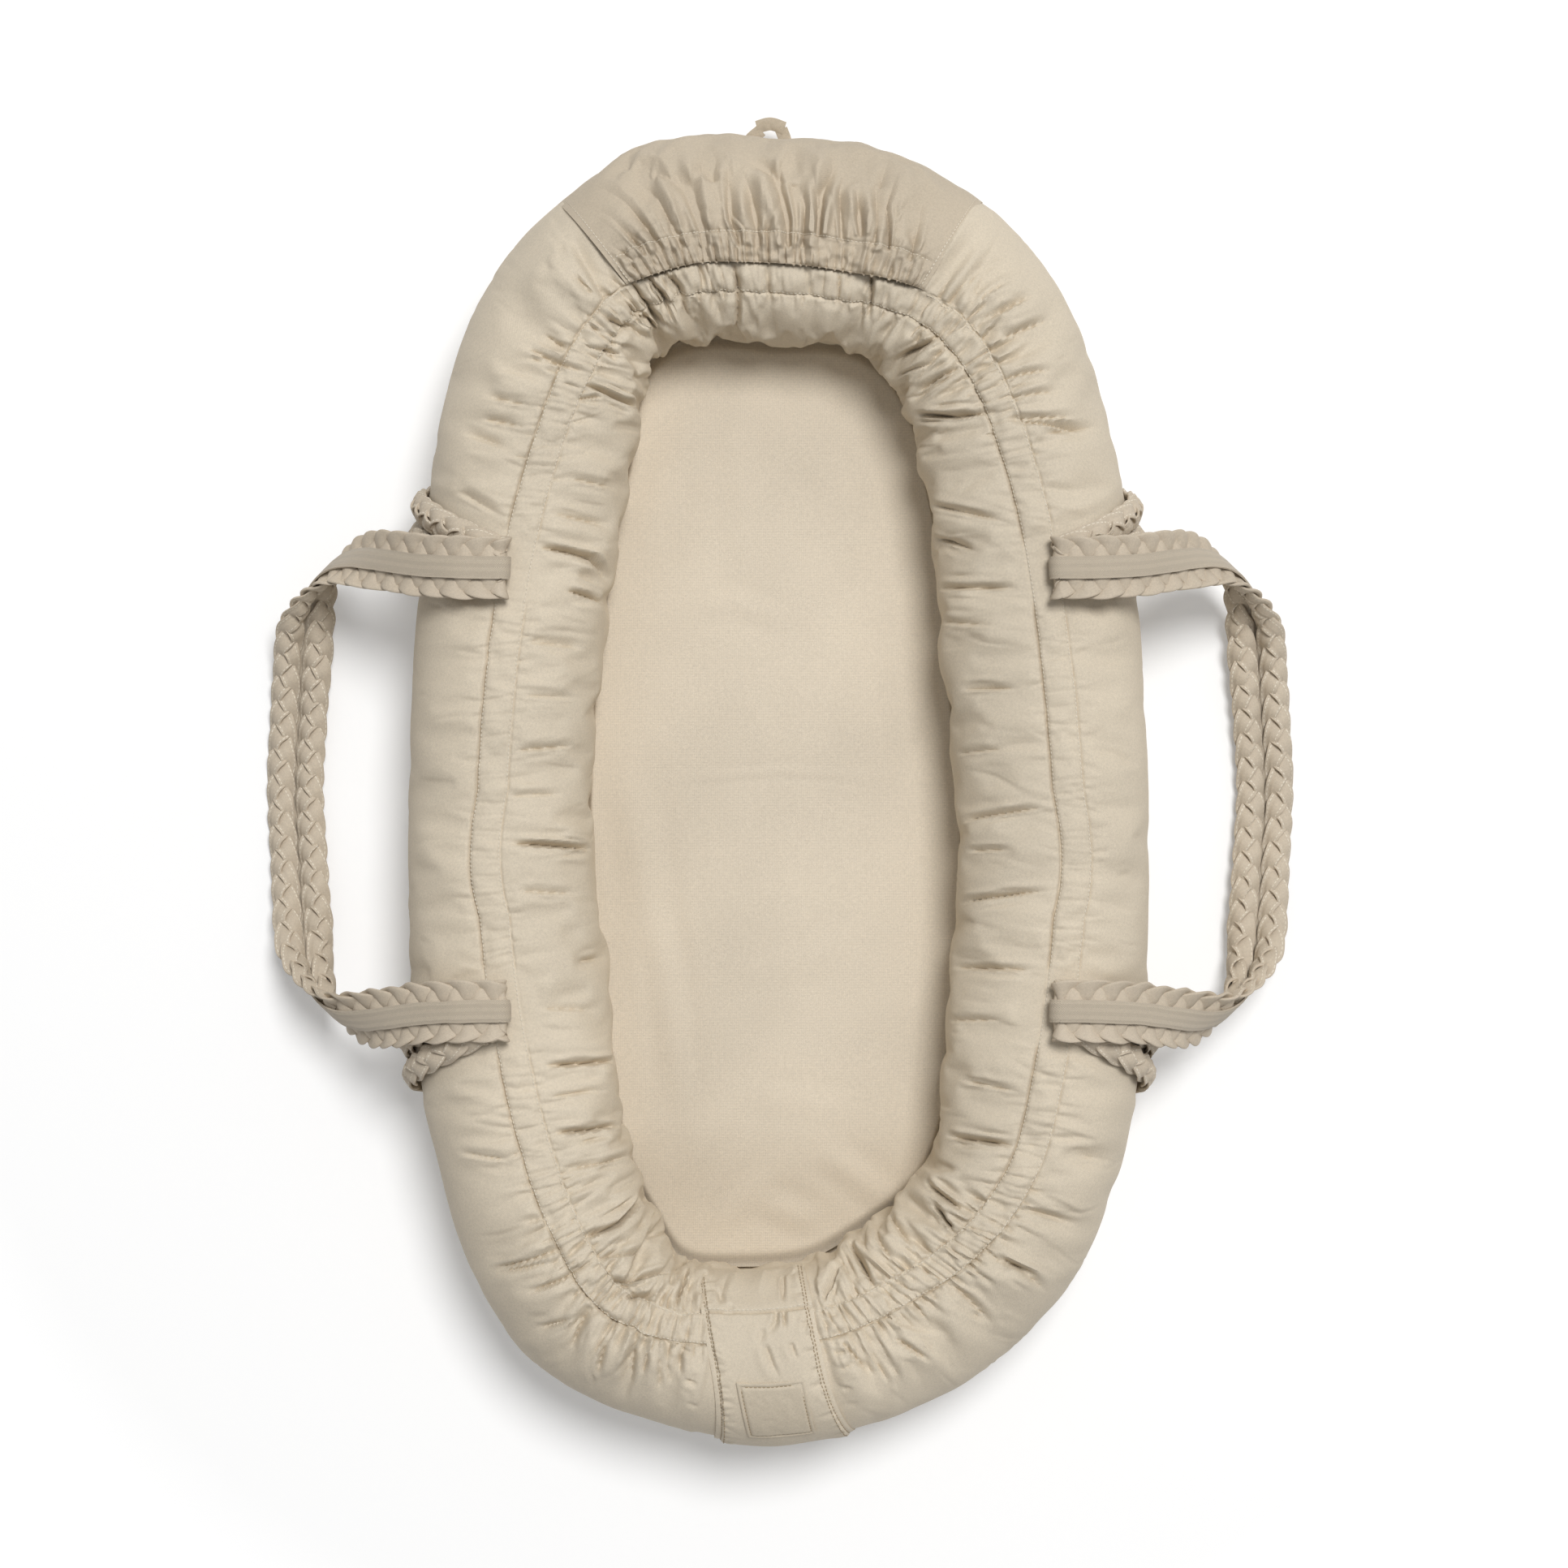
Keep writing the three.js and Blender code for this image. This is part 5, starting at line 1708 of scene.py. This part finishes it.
def plan_places(loops):
    """Places in plan of a body made of loops, for its weave."""
    return [np.vstack([loops.reshape(-1, 3)[:, :2], [(0.0, 0.0), (0.0, 0.0)]])]


LYING_LOOPS = lying_loops()
lying_cloth = body_object("lying_cloth", [LYING_LOOPS], lining, plan_places(LYING_LOOPS))
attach(lying_cloth, "nest")
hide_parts("floor_panel", "mattress_core")


def underside_loops():
    """The flat panel that the covers are sewn to, with a rounded edge."""
    stations = np.linspace(0, STATIONS, LYING_COLUMNS, endpoint=False)
    outer, inward, _ = section_at(stations)
    edge = outer + inward * (HEEL - 2)
    flat = np.ones(LYING_COLUMNS)
    return np.array([np.column_stack([edge * part, flat * height]) for part, height in UNDERSIDE_PROFILE])


UNDERSIDE_LOOPS = underside_loops()
underside = body_object("underside_cloth", [UNDERSIDE_LOOPS], lining, plan_places(UNDERSIDE_LOOPS))
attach(underside, "nest")
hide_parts("base_panel")


# Braids and tapes of the straps

PLAIT = 52.0
STRAND_WIDTH = 13.8
STRAND_THICKNESS = 2.3
TAPE_POINTS = 25
# How far the tucked ends of a stretch are drawn in, loop by loop
TUCKED_ENDS = ((0, 0.86), (-1, 0.86), (1, 0.93), (-2, 0.93))
# Section of a folded strip, as shares of its half width and half thickness
STRIP_SECTION = [
    (1, 0), (0.97, 0.5), (0.85, 0.62), (0.6, 0.66), (0.36, 0.6), (0.26, 0.96), (0, 1.05), (-0.4, 1),
    (-0.8, 0.95), (-0.96, 0.6), (-1, 0), (-0.96, -0.6), (-0.8, -0.95), (-0.3, -1), (0.3, -1), (0.8, -0.95),
    (0.96, -0.5),
]


def strand_loops(frames, offset, phase):
    """One strand of a braid: it weaves from side to side, over and under its neighbours."""
    along, centre, across, normal, _ = frames
    theta = 2 * np.pi * (along / PLAIT + phase / 3)
    swing = (BRAID_WIDTH - STRAND_WIDTH * 0.72) / 2
    height = BRAID_THICKNESS / 2 - STRAND_THICKNESS / 2 + 0.45
    uneven = 1 + 0.1 * noise(along / 7 + 11 * phase + 30, along * 0 + 7, int(phase * 2) + 81)
    middle = (STRAP_GAP + TAPE_THICKNESS) / 2 + 0.3
    side = (offset + swing * np.sin(theta))[:, None]
    up = (middle + height * np.sin(2 * theta))[:, None]
    path = centre + across * side + normal * up
    way = unit(np.gradient(path, axis=0))
    roll = np.radians(32) * np.sin(theta)
    face = normal * np.cos(roll)[:, None] + across * np.sin(roll)[:, None]
    face = unit(face - way * (face * way).sum(1, keepdims=True))
    flat = np.cross(way, face)
    width = STRAND_WIDTH / 2 * (0.8 + 0.2 * np.cos(theta) ** 2) * uneven
    out, rise = np.array(STRIP_SECTION).T
    thick = STRAND_THICKNESS / 2 * rise
    return (
        path[:, None]
        + flat[:, None] * (width[:, None] * out)[..., None]
        + face[:, None] * thick[None, :, None]
    )


def tape_loops(frames, seed):
    """The tape over the valley between the braids, a little uneven at its edges."""
    along, centre, across, normal, _ = frames
    face = -STRAP_THICKNESS / 2 + TAPE_THICKNESS / 2 - 0.5
    share = np.linspace(-1, 1, TAPE_POINTS)
    half = TAPE_WIDTH / 2 * (1 + 0.03 * noise(along / 12 + 20, along * 0 + 3, seed))
    dip = 0.25 * noise(along / 9 + 40, along * 0 + 5, seed + 1)
    loops = []
    for level, shares in ((0.5, share), (-0.5, share[::-1])):
        out = half[:, None] * shares
        sag = face + dip[:, None] * (1 - shares**2) + level * TAPE_THICKNESS
        sag = sag + 0.5 * np.abs(shares) ** 6 + 0.3 * bell((np.abs(shares) - 0.83) / 0.06)
        loops.append(centre[:, None] + across[:, None] * out[..., None] + normal[:, None] * sag[..., None])
    return np.concatenate(loops, axis=1)


def tape_places(frames):
    """Each point's place along and across the tape, for its weave."""
    along = frames[0]
    out = np.linspace(-1, 1, TAPE_POINTS) * TAPE_WIDTH / 2 + TAPE_WIDTH
    out = np.concatenate([out, out[::-1]])
    grid = np.broadcast_to(along[:, None], (len(along), len(out)))
    return np.stack([grid, np.broadcast_to(out, grid.shape), 0 * grid], axis=-1)


def cut(parts, first, last, tucked):
    """The stretch of every strand from first to last; tucked ends slip inside the stretches next to it."""
    pieces = []
    for loops in parts:
        piece = loops[first : last + 1].copy()
        if tucked:
            for end, share in TUCKED_ENDS:
                middle = piece[end].mean(axis=0)
                piece[end] = middle + (piece[end] - middle) * share
        pieces.append(piece)
    return pieces


def strap_piece(name, part, loops, places, first, last, tucked=False):
    """One stretch of a braid or a tape as an object."""
    cloth = tape_cloth if part == "tape" else braid_cloth
    own_places = None
    if part == "tape":
        stretch = places[first : last + 1]
        ends = stretch[[0, -1]].mean(axis=1)
        own_places = [np.vstack([stretch.reshape(-1, 3), ends])]
    piece = body_object(name, cut(loops, first, last, tucked), cloth, own_places)
    return piece


def make_straps():
    for side_name, side in (("left", -1), ("right", 1)):
        frames = strap_frames(side)
        counts = frames[-1]
        offset = (BRAID_WIDTH + GAP) / 2
        places = tape_places(frames)
        strips = {
            "outer_braid": [strand_loops(frames, offset, phase) for phase in range(3)],
            "inner_braid": [strand_loops(frames, -offset, phase + 1.5) for phase in range(3)],
            "tape": [tape_loops(frames, 31 + side)],
        }
        anchor_names = {"outer_braid": "inner_braid", "inner_braid": "outer_braid", "tape": "tape"}
        middle = np.array([side * fold_place(side), 0, HINGE_HEIGHT]) * MM
        for part, loops in strips.items():
            form = "woven" if part == "tape" else "plait"
            name = f"{side_name}_handle_{part}"
            handle = strap_piece(f"{name}_{form}", part, loops, places, counts[2] - 1, counts[3])
            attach(handle, f"{side_name}_handle")
            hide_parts(name)
            for end_name, anchor, fold in (("head", 0, 1), ("foot", 4, 3)):
                name = f"{side_name}_{end_name}_anchor_{anchor_names[part]}"
                ends = np.clip((counts[anchor] - 1, counts[anchor + 1]), 0, counts[-1] - 1)
                piece = strap_piece(f"{name}_{form}", part, loops, places, *ends)
                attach(piece, "nest")
                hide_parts(name)
                ends = (counts[fold] - 1, counts[fold + 1])
                name = f"{side_name}_{end_name}_fold_{part}"
                bend = strap_piece(name, part, loops, places, *ends, tucked=True)
                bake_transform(bend)


make_straps()


# Room and light

FLOOR_GREY = 0.86
FLOOR_LIFT = 0.16
FLOOR_HALF = 60.0
# Distances from the middle between which the floor fades to white
FADE_START = 0.62
FADE_END = 1.8
AMBIENT = 0.34
LAMP_PLACE = (1.6, 2.7, 7.2)
LAMP_SIZE = 3.0
LAMP_POWER = 462


def floor_material():
    """A pale floor that also glows for the camera, and more so farther away."""
    material = bpy.data.materials.new("pale_floor")
    material.use_nodes = True
    tree = material.node_tree
    shader = tree.nodes["Principled BSDF"]
    shader.inputs["Base Color"].default_value = (FLOOR_GREY,) * 3 + (1,)
    shader.inputs["Roughness"].default_value = 0.9
    shader.inputs["Specular IOR Level"].default_value = 0.0
    bare = shader.outputs["BSDF"]
    place = add_node(tree, "ShaderNodeTexCoord", {}).outputs["Object"]
    away = add_node(tree, "ShaderNodeVectorMath", {0: place}, operation="LENGTH").outputs["Value"]
    inputs = {"Value": away, "From Min": FADE_START, "From Max": FADE_END, "To Min": FLOOR_LIFT}
    fade = add_node(tree, "ShaderNodeMapRange", inputs).outputs["Result"]
    glow = add_node(tree, "ShaderNodeEmission", {"Strength": fade}).outputs["Emission"]
    both = add_node(tree, "ShaderNodeAddShader", {0: bare, 1: glow}).outputs["Shader"]
    rays = add_node(tree, "ShaderNodeLightPath", {}).outputs["Is Camera Ray"]
    pick = add_node(tree, "ShaderNodeMixShader", {0: rays, 1: bare, 2: both}).outputs["Shader"]
    tree.links.new(pick, tree.nodes["Material Output"].inputs["Surface"])
    return material


def studio_floor():
    mesh = bpy.data.meshes.new("floor")
    corners = [(x * FLOOR_HALF, y * FLOOR_HALF, 0) for x, y in ((-1, -1), (1, -1), (1, 1), (-1, 1))]
    mesh.from_pydata(corners, [], [(0, 1, 2, 3)])
    mesh.materials.append(floor_material())
    floor = put_in_scene("floor", mesh)


def studio_light():
    """One soft lamp and even light from all round; the camera sees a white background."""
    world = bpy.data.worlds.new("studio")
    bpy.context.scene.world = world
    world.use_nodes = True
    tree = world.node_tree
    background = tree.nodes["Background"]
    background.inputs["Color"].default_value = (1, 1, 1, 1)
    rays = add_node(tree, "ShaderNodeLightPath", {}).outputs["Is Camera Ray"]
    strength = add_node(tree, "ShaderNodeMapRange", {"Value": rays, "To Min": AMBIENT, "To Max": 1.0})
    tree.links.new(strength.outputs["Result"], background.inputs["Strength"])
    data = bpy.data.lights.new("key", "AREA")
    data.shape = "DISK"
    data.size = LAMP_SIZE
    data.energy = LAMP_POWER
    lamp = put_in_scene("key", data)
    lamp.location = LAMP_PLACE
    lamp.rotation_euler = (-Vector(LAMP_PLACE)).to_track_quat("-Z", "Y").to_euler()


studio_floor()
studio_light()
bpy.context.scene.view_settings.view_transform = "Standard"
